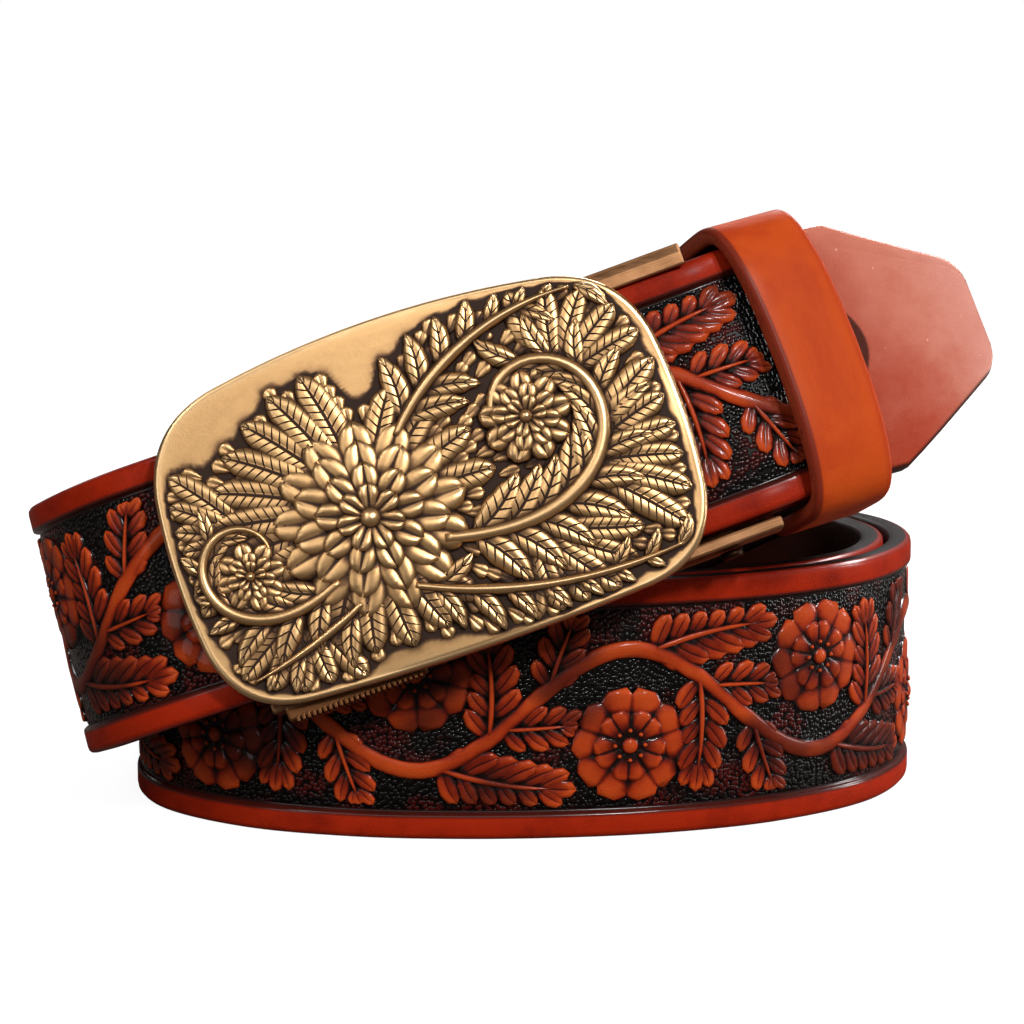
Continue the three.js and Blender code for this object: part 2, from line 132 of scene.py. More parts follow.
def curveThrough(rows, perSpan):  # a smooth curve through the rows, by the centripetal Catmull-Rom rule
    rows = np.array(rows, dtype=float)
    rows = np.vstack([2 * rows[0] - rows[1], rows, 2 * rows[-1] - rows[-2]])
    out = []
    for i in range(1, len(rows) - 2):
        p = rows[i - 1:i + 3]
        gaps = np.sqrt(np.linalg.norm(np.diff(p[:, :3], axis=0), axis=1))
        knot = np.concatenate([[0], np.cumsum(gaps)])
        for k in range(perSpan):
            t = knot[1] + (knot[2] - knot[1]) * k / perSpan
            a = [blend(p[j], p[j + 1], knot[j], knot[j + 1], t) for j in range(3)]
            b = [blend(a[j], a[j + 1], knot[j], knot[j + 2], t) for j in range(2)]
            out.append(blend(b[0], b[1], knot[1], knot[2], t))
    out.append(rows[-2])
    return np.array(out)


def routeTable():
    reach = routeSet["reach"]
    rows = curveThrough(clampedRows + coilRows() + freeRows, routeSet["perSpan"])
    length = np.concatenate([[0], np.cumsum(np.linalg.norm(np.diff(rows[:, :3], axis=0), axis=1))])
    total = length[-1]
    s = np.linspace(0, total, int(total / routeSet["step"]))

    def rowAt(want):
        return np.stack([np.interp(want, length, rows[:, k]) for k in range(5)], axis=1)

    here = rowAt(s)
    along = unit((rowAt(np.minimum(s + reach, total)) - rowAt(np.maximum(s - reach, 0)))[:, :3])
    width = widthOf(along, here[:, 3], here[:, 4])
    out = np.cross(along, width)
    return {"s": s, "total": total, "table": np.hstack([here[:, :3], width, out, along])}


route = routeTable()


def routeAt(s):
    return np.stack([np.interp(s, route["s"], route["table"][:, k]) for k in range(12)], axis=1)


def onStrap(flat):  # s along the strap, w across it, h out of its middle
    row = routeAt(flat[:, 0])
    return row[:, :3] + flat[:, 1:2] * row[:, 3:6] + flat[:, 2:3] * row[:, 6:9]


def lengthAtX(x):  # searched from the free end back
    s = route["total"]
    while routeAt(np.array([s]))[0, 0] > x:
        s -= 0.25
    return s


keeperStart = lengthAtX(keeperSet["x"])
plainFrom = keeperStart + keeperSet["width"] / 2
print("the strap is", round(route["total"]), "mm long, and plain from", round(plainFrom))

# The plate's place on the buckle, its low crown, and the corners of its height maps
plateSet = {
    "middle": (-7.9, 0.9), "turn": -1.5, "back": 3.5,
    "halfLength": 35.3, "top": 20.8, "bottom": -22.6, "topBow": 4.5, "bottomBow": 1.7, "endBow": 2.7,
    "corner": 10, "rim": 2, "bevel": 2.5, "crown": 0.9, "crownReach": (38, 25), "trim": 0.955,
    "map": ((-42, -28), (42, 28)),
}


def onPlate(flat):
    c, s = math.cos(math.radians(plateSet["turn"])), math.sin(math.radians(plateSet["turn"]))
    u = plateSet["middle"][0] + flat[:, 0] * c - flat[:, 1] * s
    v = plateSet["middle"][1] + flat[:, 0] * s + flat[:, 1] * c
    return inBuckle(np.stack([u, v, plateSet["back"] + flat[:, 2]], axis=1))


def faceHeight(x, y):
    wide, high = plateSet["crownReach"]
    far = min((x / wide) ** 2 + (y / high) ** 2, 1)
    return plateSet["bevel"] + plateSet["crown"] * (1 - far)


# Making pieces: a shape is built flat in millimetres, then wrapped on to the strap, plate or buckle
def addGrid(bm, rows, columns, placeAt):  # placeAt(i, j) gives the point of a row and a column
    grid = bmesh.ops.create_grid(bm, x_segments=rows - 1, y_segments=columns - 1, size=1)
    verts = {}
    for vert in grid["verts"]:
        i = round((vert.co.x + 1) / 2 * (rows - 1))
        j = round((vert.co.y + 1) / 2 * (columns - 1))
        verts[i, j] = vert
    for (i, j), vert in verts.items():
        vert.co = placeAt(i, j)
    return verts


def finishPiece(name, bm, wrap, materials, node=None, smooth=True):
    mesh = bpy.data.meshes.new(name)
    bm.to_mesh(mesh)
    bm.free()
    flat = np.empty(len(mesh.vertices) * 3)
    mesh.vertices.foreach_get("co", flat)
    flat = flat.reshape(-1, 3)
    place = mesh.attributes.new("place", "FLOAT_VECTOR", "POINT")
    place.data.foreach_set("vector", flat.ravel())
    mesh.vertices.foreach_set("co", ((wrap(flat) + partShift) * mm).ravel())
    mesh.polygons.foreach_set("use_smooth", [smooth] * len(mesh.polygons))
    for material in materials:
        mesh.materials.append(material)
    mesh.update()
    piece = bpy.data.objects.new(name, mesh)
    scene.collection.objects.link(piece)
    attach(piece, "root")
    if node:
        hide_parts(node)
    print("made", name, len(mesh.polygons), "faces")
    return piece


# Node helpers
def setInputs(tree, node, inputs):  # a socket is linked, and any other value is set
    for key, value in inputs.items():
        if isinstance(value, bpy.types.NodeSocket):
            tree.links.new(value, node.inputs[key])
        else:
            node.inputs[key].default_value = value


def addNode(tree, kind, inputs=None, **settings):
    made = tree.nodes.new(kind)
    for key, value in settings.items():
        setattr(made, key, value)
    setInputs(tree, made, inputs or {})
    return made


def math2(tree, operation, a, b=0.0, clamp=False):
    return addNode(tree, "ShaderNodeMath", {0: a, 1: b}, operation=operation, use_clamp=clamp).outputs[0]


def plus(tree, a, b):
    return math2(tree, "ADD", a, b)


def minus(tree, a, b):
    return math2(tree, "SUBTRACT", a, b)


def times(tree, a, b):
    return math2(tree, "MULTIPLY", a, b)


def over(tree, a, b):
    return math2(tree, "DIVIDE", a, b)


def larger(tree, a, b):
    return math2(tree, "MAXIMUM", a, b)


def absolute(tree, value):
    return math2(tree, "ABSOLUTE", value)


def ramp(tree, value, begins, full):  # from 0 where it begins to 1 where it is full, up or down the value
    inputs = {"Value": value, "From Min": begins, "From Max": full}
    return addNode(tree, "ShaderNodeMapRange", inputs, interpolation_type="SMOOTHSTEP").outputs[0]


def mark(tree, value, look, within=None):  # a ramp at a strength, and only within another mask
    begins, full, strength = look
    shown = times(tree, ramp(tree, value, begins, full), strength)
    return shown if within is None else times(tree, shown, within)


def between(tree, share, low, high):  # low where the share is 0, and high where it is 1
    return addNode(tree, "ShaderNodeMapRange", {"Value": share, "To Min": low, "To Max": high}).outputs[0]


def mixColour(tree, share, a, b):
    return addNode(tree, "ShaderNodeMix", {"Factor": share, 6: a, 7: b}, data_type="RGBA").outputs[2]


def attribute(tree, name, output="Vector"):
    return addNode(tree, "ShaderNodeAttribute", attribute_name=name).outputs[output]


def splitVector(tree, vector):
    return addNode(tree, "ShaderNodeSeparateXYZ", {0: vector}).outputs


def noise(tree, vector, scale, detail=3.0, roughness=0.5):
    inputs = {"Vector": vector, "Scale": scale, "Detail": detail, "Roughness": roughness}
    return addNode(tree, "ShaderNodeTexNoise", inputs).outputs["Fac"]


def cellDistance(tree, vector, scale, feature="F1", dimensions="3D", randomness=1.0):
    inputs = {"Vector": vector, "Scale": scale, "Randomness": randomness}
    cells = addNode(tree, "ShaderNodeTexVoronoi", inputs, feature=feature, voronoi_dimensions=dimensions)
    return cells.outputs["Distance"]


def newGroup(name, inputs, outputs):  # both give each socket's kind, such as Float
    group = bpy.data.node_groups.new(name, "ShaderNodeTree")
    for sockets, way in ((inputs, "INPUT"), (outputs, "OUTPUT")):
        for socket, kind in sockets.items():
            group.interface.new_socket(socket, in_out=way, socket_type="NodeSocket" + kind)
    start = group.nodes.new("NodeGroupInput")
    end = group.nodes.new("NodeGroupOutput")
    return group, start.outputs, end


def useGroup(tree, group, inputs):
    return addNode(tree, "ShaderNodeGroup", inputs, node_tree=group).outputs


def newMaterial(name):
    material = bpy.data.materials.new(name)
    material.use_nodes = True
    return material, material.node_tree, material.node_tree.nodes["Principled BSDF"]


def addBump(tree, shader, height, distance):
    bump = addNode(tree, "ShaderNodeBump", {"Height": height, "Distance": distance, "Strength": 1.0})
    setInputs(tree, shader, {"Normal": bump.outputs[0]})


# Effects that several finishes share, with vectors in millimetres
def makePebbles():  # the tooled ground: round pebbles, and the gaps between them
    outputs = {"Height": "Float", "Gaps": "Float"}
    group, given, end = newGroup("pebbles", {"Vector": "Vector", "Size": "Float"}, outputs)
    away = cellDistance(group, given["Vector"], over(group, 1.0, given["Size"]), "F1", "2D", 0.85)
    far = math2(group, "DIVIDE", away, 0.6, clamp=True)
    height = math2(group, "SQRT", minus(group, 1.0, times(group, far, far)))
    setInputs(group, end, {"Height": height, "Gaps": ramp(group, away, 0.36, 0.58)})
    return group


def makeGrain():  # fine leather grain, a slow change of tone, and pores
    outputs = {"Height": "Float", "Tone": "Float", "Pores": "Float"}
    group, given, end = newGroup("grain", {"Vector": "Vector", "Size": "Float"}, outputs)
    place, scale = given["Vector"], over(group, 1.0, given["Size"])
    creases = ramp(group, cellDistance(group, place, scale, "DISTANCE_TO_EDGE"), 0.0, 0.22)
    fine = noise(group, place, times(group, scale, 2.2), 2.0)
    height = plus(group, times(group, creases, 0.6), times(group, fine, 0.5))
    tone = noise(group, place, 0.11, 4.0, 0.6)
    pores = ramp(group, cellDistance(group, place, 0.34), 0.08, 0.035)
    setInputs(group, end, {"Height": height, "Tone": tone, "Pores": pores})
    return group


def makeCutLines():  # slanting cuts; Leaf is the place along, across from -1 to 1, and the cuts' pitch
    inputs = {"Leaf": "Vector", "Slant": "Float", "Width": "Float"}
    group, given, end = newGroup("cutLines", inputs, {"Lines": "Float", "Side": "Float"})
    along, across, pitch = splitVector(group, given["Leaf"])
    side = absolute(group, across)
    bend = times(group, math2(group, "POWER", side, 0.8), given["Slant"])
    away = math2(group, "PINGPONG", minus(group, over(group, along, pitch), bend), 0.5)
    thin = times(group, given["Width"], ramp(group, side, 1.15, 0.2))
    lines = minus(group, 1.0, ramp(group, over(group, away, thin), 0.45, 1.0))
    lines = times(group, times(group, lines, ramp(group, side, 0.03, 0.14)), ramp(group, side, 1.02, 0.9))
    setInputs(group, end, {"Lines": lines, "Side": side})
    return group


pebbles = makePebbles()
grain = makeGrain()
cutLines = makeCutLines()
print("shared effects are made")

# The strap's leather. A look is where a mark begins, where it is full, and its strength
leatherTones = {
    "red": (0.31, 0.017, 0.0035, 1), "deepRed": (0.15, 0.007, 0.0022, 1), "orange": (0.43, 0.054, 0.0085, 1),
    "maroon": (0.045, 0.0055, 0.004, 1), "cut": (0.008, 0.0035, 0.003, 1), "back": (0.026, 0.011, 0.0075, 1),
    "tip": (0.46, 0.145, 0.098, 1), "tipDeep": (0.31, 0.038, 0.016, 1), "tipPale": (0.75, 0.42, 0.36, 1),
    "ground": (0.003, 0.0022, 0.002, 1), "groundRed": (0.05, 0.003, 0.0022, 1),
}
strapLook = {
    # the tip's marks here paint a sheen, a highlight along its upper edge and the keeper's shadow into its
    # colour
    "paintedSheen": (4, 22, 1), "paintedNoseSheen": (20, 40, 0.4), "specks": (0.45, 0.7, 0.7),
    "paintedShadow": (6.2, 5.6, 0.85), "paintedShadowAt": 0.5, "paintedShadowHalf": 5, "paintedShadowBow": 2,
    "paintedUpperHighlight": (1.45, 1.2, 0.8), "lowerEdge": (0.9, 0.3, 0.9),
    "groove": (16, 15.4, 1), "rim": (18, 18.9, 0.6), "cut": (1.2, 0.75, 1), "back": (-1.2, -1.7, 1),
    "tipCoat": 0.24, "cornerCoat": 0.6, "cutCoat": 0.16, "grooveCoat": 0.5, "leastCoat": 0.02,
    "rough": (0.36, 0.5), "grain": 0.12, "bump": 0.0003,
}
groundLook = {
    "pebble": 0.7, "worn": (0.49, 0.62, 1), "rough": (0.13, 0.34), "specular": (0.24, 0.08), "bump": 0.00026,
}
motifLook = {
    "lifted": (-0.08, -0.36, 1), "dusk": (0.47, 0.62, 0.8), "hollow": (-0.12, 0.12, 1),
    "border": (0.88, 1, 1), "borderCoat": 0.9, "leastCoat": 0.12,
    "rough": 0.4, "grain": 0.12, "bump": 0.00025,
}


def redLeather(tree, place):  # the raised leather's colour, which changes slowly between two reds
    grained = useGroup(tree, grain, {"Vector": place, "Size": 0.45})
    tone = ramp(tree, grained["Tone"], 0.2, 0.6)
    return mixColour(tree, tone, leatherTones["deepRed"], leatherTones["red"]), grained


def tipColour(tree, place, pores):  # the plain end: red to pink with a painted sheen towards its upper side and nose, pale specks, a painted highlight on the upper edge, a dark burnished lower edge, and the keeper's painted shadow
    look = strapLook
    s, w, h = splitVector(tree, place)
    beyond = minus(tree, s, plainFrom)
    # painted sheen: the tip turns from deep red to pink towards its upper side and its nose, with a random
    # cloud in it
    cloud = times(tree, noise(tree, place, 0.13, 4.0, 0.6), 16.0)
    drift = plus(tree, times(tree, w, 0.3), times(tree, beyond, 0.6))
    paintedSheen = mark(tree, plus(tree, drift, cloud), look["paintedSheen"])
    tone = mixColour(tree, paintedSheen, leatherTones["tipDeep"], leatherTones["tip"])
    # painted sheen: the tip gets paler still towards its nose
    paintedNoseSheen = mark(tree, plus(tree, beyond, cloud), look["paintedNoseSheen"])
    tone = mixColour(tree, paintedNoseSheen, tone, leatherTones["tipPale"])
    specks = mark(tree, noise(tree, place, 0.45), look["specks"], pores)
    tone = mixColour(tree, specks, tone, leatherTones["tipPale"])
    # painted shadow: a dark crescent on the tip where the keeper stands off it
    bend = over(tree, minus(tree, w, look["paintedShadowAt"]), look["paintedShadowHalf"])
    bowed = plus(tree, beyond, times(tree, times(tree, bend, bend), look["paintedShadowBow"]))
    tone = mixColour(tree, mark(tree, bowed, look["paintedShadow"]), tone, leatherTones["cut"])
    # painted highlight: a pale line along the tip's upper edge
    upperHighlight = mark(tree, h, look["paintedUpperHighlight"], ramp(tree, w, -4, 8))
    tone = mixColour(tree, upperHighlight, tone, leatherTones["tipPale"])
    share = math2(tree, "MINIMUM", over(tree, minus(tree, route["total"], s), strapSet["tip"]), 1)
    slant = times(tree, share, (strapSet["width"] - strapSet["nose"]) / 2)
    inset = minus(tree, plus(tree, slant, strapSet["nose"] / 2), absolute(tree, w))
    lower = mark(tree, inset, look["lowerEdge"], ramp(tree, w, 0, -5))
    return mixColour(tree, lower, tone, leatherTones["cut"])


def strapLeather():  # the smooth rails, the tip, the cut edges and the suede back
    look = strapLook
    material, tree, shader = newMaterial("strapLeather")
    place = attribute(tree, "place")
    s, w, h = splitVector(tree, place)
    side = absolute(tree, w)
    red, grained = redLeather(tree, place)
    tip = ramp(tree, s, plainFrom - 1, plainFrom + 1)
    tooled = minus(tree, 1.0, tip)
    face = mixColour(tree, tip, red, tipColour(tree, place, grained["Pores"]))
    groove = mark(tree, side, look["groove"], tooled)
    face = mixColour(tree, times(tree, groove, 0.85), face, leatherTones["cut"])
    face = mixColour(tree, mark(tree, side, look["rim"], tooled), face, leatherTones["deepRed"])
    cut, back = mark(tree, h, look["cut"]), mark(tree, h, look["back"])
    face = mixColour(tree, cut, face, leatherTones["cut"])
    face = mixColour(tree, back, face, leatherTones["back"])
    corner = times(tree, ramp(tree, h, 1.8, 1.6), ramp(tree, h, 1.0, 1.4))
    coat = look["leastCoat"]
    for mask, name in ((tip, "tipCoat"), (corner, "cornerCoat"), (cut, "cutCoat"), (groove, "grooveCoat")):
        coat = larger(tree, coat, times(tree, mask, look[name]))
    setInputs(tree, shader, {
        "Base Color": face, "Roughness": between(tree, grained["Tone"], *look["rough"]), "Coat Weight": coat,
        "Specular IOR Level": 0.03, "Coat Roughness": 0.18, "Coat IOR": 1.5,
    })
    suede = times(tree, noise(tree, place, 1.9, 4.0, 0.7), back)
    addBump(tree, shader, plus(tree, times(tree, grained["Height"], look["grain"]), suede), look["bump"])
    return material


def groundLeather():  # the dark pebbled ground between the rails, reddish in patches
    look = groundLook
    material, tree, shader = newMaterial("groundLeather")
    place = attribute(tree, "place")
    stones = useGroup(tree, pebbles, {"Vector": place, "Size": look["pebble"]})
    worn = mark(tree, noise(tree, place, 0.11, 2.0), look["worn"], stones["Height"])
    setInputs(tree, shader, {
        "Base Color": mixColour(tree, worn, leatherTones["ground"], leatherTones["groundRed"]),
        "Roughness": between(tree, stones["Gaps"], *look["rough"]),
        "Specular IOR Level": between(tree, stones["Gaps"], *look["specular"]),
    })
    addBump(tree, shader, stones["Height"], look["bump"])
    return material


def motifLeather():  # the raised vine: orange on high places, dusky in patches, dark in hollows
    look = motifLook
    material, tree, shader = newMaterial("motifLeather")
    place, cavity = attribute(tree, "place"), attribute(tree, "cavity", "Fac")
    side = absolute(tree, splitVector(tree, attribute(tree, "leaf"))[1])
    red, grained = redLeather(tree, place)
    lifted = mark(tree, plus(tree, cavity, times(tree, grained["Tone"], -0.3)), look["lifted"])
    face = mixColour(tree, lifted, red, leatherTones["orange"])
    dusk = mark(tree, noise(tree, place, 0.05, 2.0), look["dusk"])
    face = mixColour(tree, dusk, face, leatherTones["maroon"])
    border = mark(tree, side, look["border"])
    dark = larger(tree, mark(tree, cavity, look["hollow"]), border)
    setInputs(tree, shader, {
        "Base Color": mixColour(tree, dark, face, leatherTones["cut"]), "Roughness": look["rough"],
        "Coat Weight": larger(tree, times(tree, border, look["borderCoat"]), look["leastCoat"]),
        "Specular IOR Level": 0.06, "Coat Roughness": 0.12, "Coat IOR": 1.6,
    })
    addBump(tree, shader, times(tree, grained["Height"], look["grain"]), look["bump"])
    return material


# The keeper's leather. Its rim, band and side are measured in from the sides, its inside by its depth
keeperTones = {
    "warm": (0.45, 0.058, 0.0075, 1), "red": (0.34, 0.031, 0.0062, 1), "cut": (0.055, 0.008, 0.005, 1),
    "side": (0.33, 0.046, 0.017, 1), "band": (0.13, 0.016, 0.008, 1),
}
keeperLook = {
    "tone": (0.15, 0.62, 1), "rim": (1.6, 0.5, 0.7), "pores": 0.25, "band": (1.25, 0.85, 0.85),
    "inside": (0.95, 0.45, 1), "side": (0.5, 0.2, 1), "rubbed": (0.2, 0.5, 1),
    "rough": (0.42, 0.62), "coat": (0.05, 0.35), "grain": 0.08, "bump": 0.0004,
}


def keeperLeather():
    look, tones = keeperLook, keeperTones
    material, tree, shader = newMaterial("keeperLeather")
    place = attribute(tree, "place")
    _, across, depth = splitVector(tree, place)
    fromLeft = plus(tree, across, keeperFit["width"] / 2)
    fromSide = minus(tree, keeperFit["width"] / 2, absolute(tree, across))
    grained = useGroup(tree, grain, {"Vector": place, "Size": 0.4})
    face = mixColour(tree, mark(tree, grained["Tone"], look["tone"]), tones["red"], tones["warm"])
    face = mixColour(tree, mark(tree, fromSide, look["rim"]), face, tones["red"])
    face = mixColour(tree, times(tree, grained["Pores"], look["pores"]), face, tones["red"])
    face = mixColour(tree, mark(tree, fromLeft, look["band"]), face, tones["band"])
    inside = mark(tree, depth, look["inside"])
    face = mixColour(tree, inside, face, tones["cut"])
    rubbed = mark(tree, noise(tree, place, 0.9, 4.0, 0.7), look["rubbed"], inside)
    face = mixColour(tree, mark(tree, fromSide, look["side"], rubbed), face, tones["side"])
    setInputs(tree, shader, {
        "Base Color": face, "Roughness": between(tree, inside, *look["rough"]),
        "Coat Weight": between(tree, inside, *look["coat"]),
        "Specular IOR Level": 0.03, "Coat Roughness": 0.26,
    })
    fibres = times(tree, noise(tree, place, 1.4, 4.0, 0.7), inside)
    addBump(tree, shader, plus(tree, times(tree, grained["Height"], look["grain"]), fibres), look["bump"])
    return material


# The buckle's brass. A cavity is above 0 in hollows and below 0 on high places, in millimetres
brassTones = {
    "high": (0.80, 0.52, 0.26, 1), "middle": (0.60, 0.355, 0.155, 1), "low": (0.20, 0.105, 0.05, 1),
    # dirt is the patina's colour and, on the screw, a painted shade; sill is a painted shade on the sill
    "dirt": (0.026, 0.012, 0.007, 1), "frameDull": (0.26, 0.125, 0.056, 1), "frame": (0.38, 0.188, 0.088, 1),
    "sill": (0.15, 0.062, 0.024, 1),
}
patinaLook = {"dirt": (0.05, 0.3, 1), "shine": (0.02, -0.35, 1), "low": (-0.03, 0.16, 1), "cloud": 0.06}
castLook = {
    "slant": 1.25, "line": 0.13, "lines": 0.4, "middle": (0.13, 0.02, 0.2), "under": (1.3, 0.2, 0.75),
    "metal": (1, 0.15), "rough": (0.4, 0.6), "shine": 0.08, "fine": 0.04, "soft": 0.03, "bump": 0.00045,
}
frameLook = {
    "cloud": (0.3, 0.75, 1), "streaks": (0.55, 0.8, 0.35), "stretch": (0.12, 3, 3), "below": (0, -15, 0.15),
    "lowRail": (-19, -20, 0.75), "leftEndShade": (-20, -32, 1), "sill": (-21.7, -21.9, 1),
    "underRail": (-21.8, -22.1, 1), "screw": (24, 25, 1), "rough": (0.38, 0.55), "bump": 0.00005,
}


def makePatina():  # dirt in the hollows and polish on the high places
    inputs = {"Vector": "Vector", "Cavity": "Float"}
    group, given, end = newGroup("patina", inputs, {"Dirt": "Float", "Shine": "Float", "Colour": "Color"})
    cloud = noise(group, given["Vector"], 0.9, 4.0, 0.65)
    shift = times(group, minus(group, cloud, 0.5), patinaLook["cloud"])
    cavity = plus(group, given["Cavity"], shift)
    dirt, shine = mark(group, cavity, patinaLook["dirt"]), mark(group, cavity, patinaLook["shine"])
    colour = mixColour(group, shine, brassTones["middle"], brassTones["high"])
    colour = mixColour(group, mark(group, cavity, patinaLook["low"]), colour, brassTones["low"])
    colour = mixColour(group, dirt, colour, brassTones["dirt"])
    setInputs(group, end, {"Dirt": dirt, "Shine": shine, "Colour": colour})
    return group


patina = makePatina()


def castBrass():  # the plate and its relief, with cut lines on the leaves and painted shade on the plate's sides and back
    look = castLook
    material, tree, shader = newMaterial("castBrass")
    place, leaf = attribute(tree, "place"), attribute(tree, "leaf")
    cavity = attribute(tree, "cavity", "Fac")
    cuts = useGroup(tree, cutLines, {"Leaf": leaf, "Slant": look["slant"], "Width": look["line"]})
    isLeaf = ramp(tree, splitVector(tree, leaf)[2], 0.05, 0.1)
    marks = larger(tree, times(tree, cuts["Lines"], look["lines"]), mark(tree, cuts["Side"], look["middle"]))
    marks = times(tree, marks, isLeaf)
    aged = useGroup(tree, patina, {"Vector": place, "Cavity": plus(tree, cavity, marks)})
    # painted shade: the plate's sides and back are darkened to the low tone
    under = mark(tree, splitVector(tree, place)[2], look["under"])
    rough = between(tree, aged["Dirt"], *look["rough"])
    setInputs(tree, shader, {
        "Base Color": mixColour(tree, under, aged["Colour"], brassTones["low"]),
        "Metallic": between(tree, aged["Dirt"], *look["metal"]),
        "Roughness": minus(tree, rough, times(tree, aged["Shine"], look["shine"])),
        "Specular IOR Level": 0.15,
    })
    fine = times(tree, noise(tree, place, 5.0, 3.0, 0.6), look["fine"])
    soft = times(tree, noise(tree, place, 0.8, 2.0), look["soft"])
    addBump(tree, shader, minus(tree, plus(tree, fine, soft), marks), look["bump"])
    return material


def frameBrass():  # the frame and the screw, streaked along, with painted shade on its lower side, the lower rail's left end, the sill and the screw
    look = frameLook
    material, tree, shader = newMaterial("frameBrass")
    place = attribute(tree, "place")
    along, across, _ = splitVector(tree, place)
    streaks = addNode(tree, "ShaderNodeMapping", {"Vector": place, "Scale": look["stretch"]}).outputs[0]
    lines = noise(tree, streaks, 1.6, 4.0, 0.6)
    cloud = mark(tree, noise(tree, place, 0.25, 3.0), look["cloud"])
    colour = mixColour(tree, cloud, brassTones["frameDull"], brassTones["frame"])
    # painted shade under the plate and rails: the lower rail's left end and the screw are darkened
    leftEndShade = mark(tree, across, look["lowRail"], mark(tree, along, look["leftEndShade"]))
    screw = mark(tree, across, look["underRail"], mark(tree, along, look["screw"]))
    # the streaks are the metal's own; the lower side, left end, sill and screw tones are painted shade
    layers = [
        (mark(tree, lines, look["streaks"]), "low"), (mark(tree, across, look["below"]), "low"),
        (leftEndShade, "low"), (mark(tree, across, look["sill"]), "sill"), (screw, "dirt"),
    ]
    for mask, tone in layers:
        colour = mixColour(tree, mask, colour, brassTones[tone])
    setInputs(tree, shader, {
        "Base Color": colour, "Metallic": 1.0, "Roughness": between(tree, lines, *look["rough"]),
    })
    addBump(tree, shader, lines, look["bump"])
    return material


# The strap
def halfWidthAt(s):
    left = route["total"] - s
    full, nose = strapSet["width"] / 2, strapSet["nose"] / 2
    slanted = nose + (full - nose) * min(left / strapSet["tip"], 1)
    if left >= strapSet["noseRound"]:
        return slanted
    reach = strapSet["noseRound"]
    return slanted - reach + math.sqrt(max(reach ** 2 - (reach - left) ** 2, 0))


def strapSection(halfWidth, sink):  # round the section: back, right edge, outer side, left edge
    h = strapSet["thick"] / 2
    railIn = halfWidth - strapSet["rail"] * halfWidth / (strapSet["width"] / 2)
    half = [  # the corners' small offsets from the edge, the rail's inner side and the faces
        (0, -h), (halfWidth - 3, -h), (halfWidth - 0.75, -h), (halfWidth - 0.2, 0.25 - h),
        (halfWidth, 0.8 - h), (halfWidth, 0), (halfWidth, h - 0.85), (halfWidth - 0.12, h - 0.4),
        (halfWidth - 0.45, h - 0.1), (halfWidth - 1.0, h), (railIn + 0.45, h), (railIn + 0.12, h - 0.08),
        (railIn, h - min(sink, 0.3)), (railIn - 0.18, h - sink * 1.12), (railIn - 0.5, h - sink * 1.12),
        (railIn - 0.75, h - sink), (railIn * 0.5, h - sink),
    ]
    left = [(-w, y) for w, y in half[1:]]
    return [half[0]] + left + [(0, h - sink)] + half[:0:-1]


def makeStrap(materials):  # the second material is the panel's
    total = route["total"]
    bodyEnd = total - strapSet["tip"]
    count = math.ceil(bodyEnd / strapSet["step"])
    stations = [bodyEnd * i / count for i in range(count)]
    lefts = (strapSet["tip"], 17, 13.5, 10, 7, 4.5, strapSet["noseRound"], 1.9, 1.3, 0.8, 0.4, 0.1, 0)
    stations += [total - left for left in lefts]
    sections = []
    for s in stations:
        fade = min(max((s - plainFrom) / 1.5 + 0.5, 0), 1)
        section = strapSection(halfWidthAt(s), strapSet["sink"] * (1 - fade) + 0.02)
        sections.append(section[::-1])
    columns = len(sections[0]) + 1
    bm = bmesh.new()
    addGrid(bm, len(stations), columns, lambda i, j: (stations[i], *sections[i][-j % (columns - 1)]))
    bmesh.ops.remove_doubles(bm, verts=bm.verts, dist=0.0001)
    rims = [edge for edge in bm.edges if edge.is_boundary]
    bmesh.ops.holes_fill(bm, edges=rims, sides=0)
    bmesh.ops.recalc_face_normals(bm, faces=bm.faces)
    for face in bm.faces:
        s, w, h = face.calc_center_median()
        face.material_index = int(abs(w) < strapSet["panel"] and h > 0 and s < plainFrom)
    finishPiece("strapBody", bm, onStrap, materials, "strap")


# Raised ridges, leaves and petals along a bending line
def bendingLine(x, y, angle, length, turn=0, curl=0):  # its heading turns by turn and curls by curl degrees
    steps = 48
    points = [(x, y, math.radians(angle))]
    for i in range(steps):
        t = (i + 0.5) / steps
        heading = math.radians(angle + turn * t + curl * t * t)
        px, py, _ = points[-1]
        px += math.cos(heading) * length / steps
        py += math.sin(heading) * length / steps
        t = (i + 1) / steps
        points.append((px, py, math.radians(angle + turn * t + curl * t * t)))

    def at(t):
        place = min(max(t, 0), 1) * steps
        i = min(int(place), steps - 1)
        a, b = points[i], points[i + 1]
        return tuple(a[k] + (b[k] - a[k]) * (place - i) for k in range(3))

    return {"at": at, "length": length}


def lookUp(table, t):
    for (t0, *a), (t1, *b) in zip(table, table[1:]):
        if t <= t1:
            share = (t - t0) / (t1 - t0)
            share = share * share * (3 - 2 * share)
            return [p + (q - p) * share for p, q in zip(a, b)]
    return list(table[-1][1:])


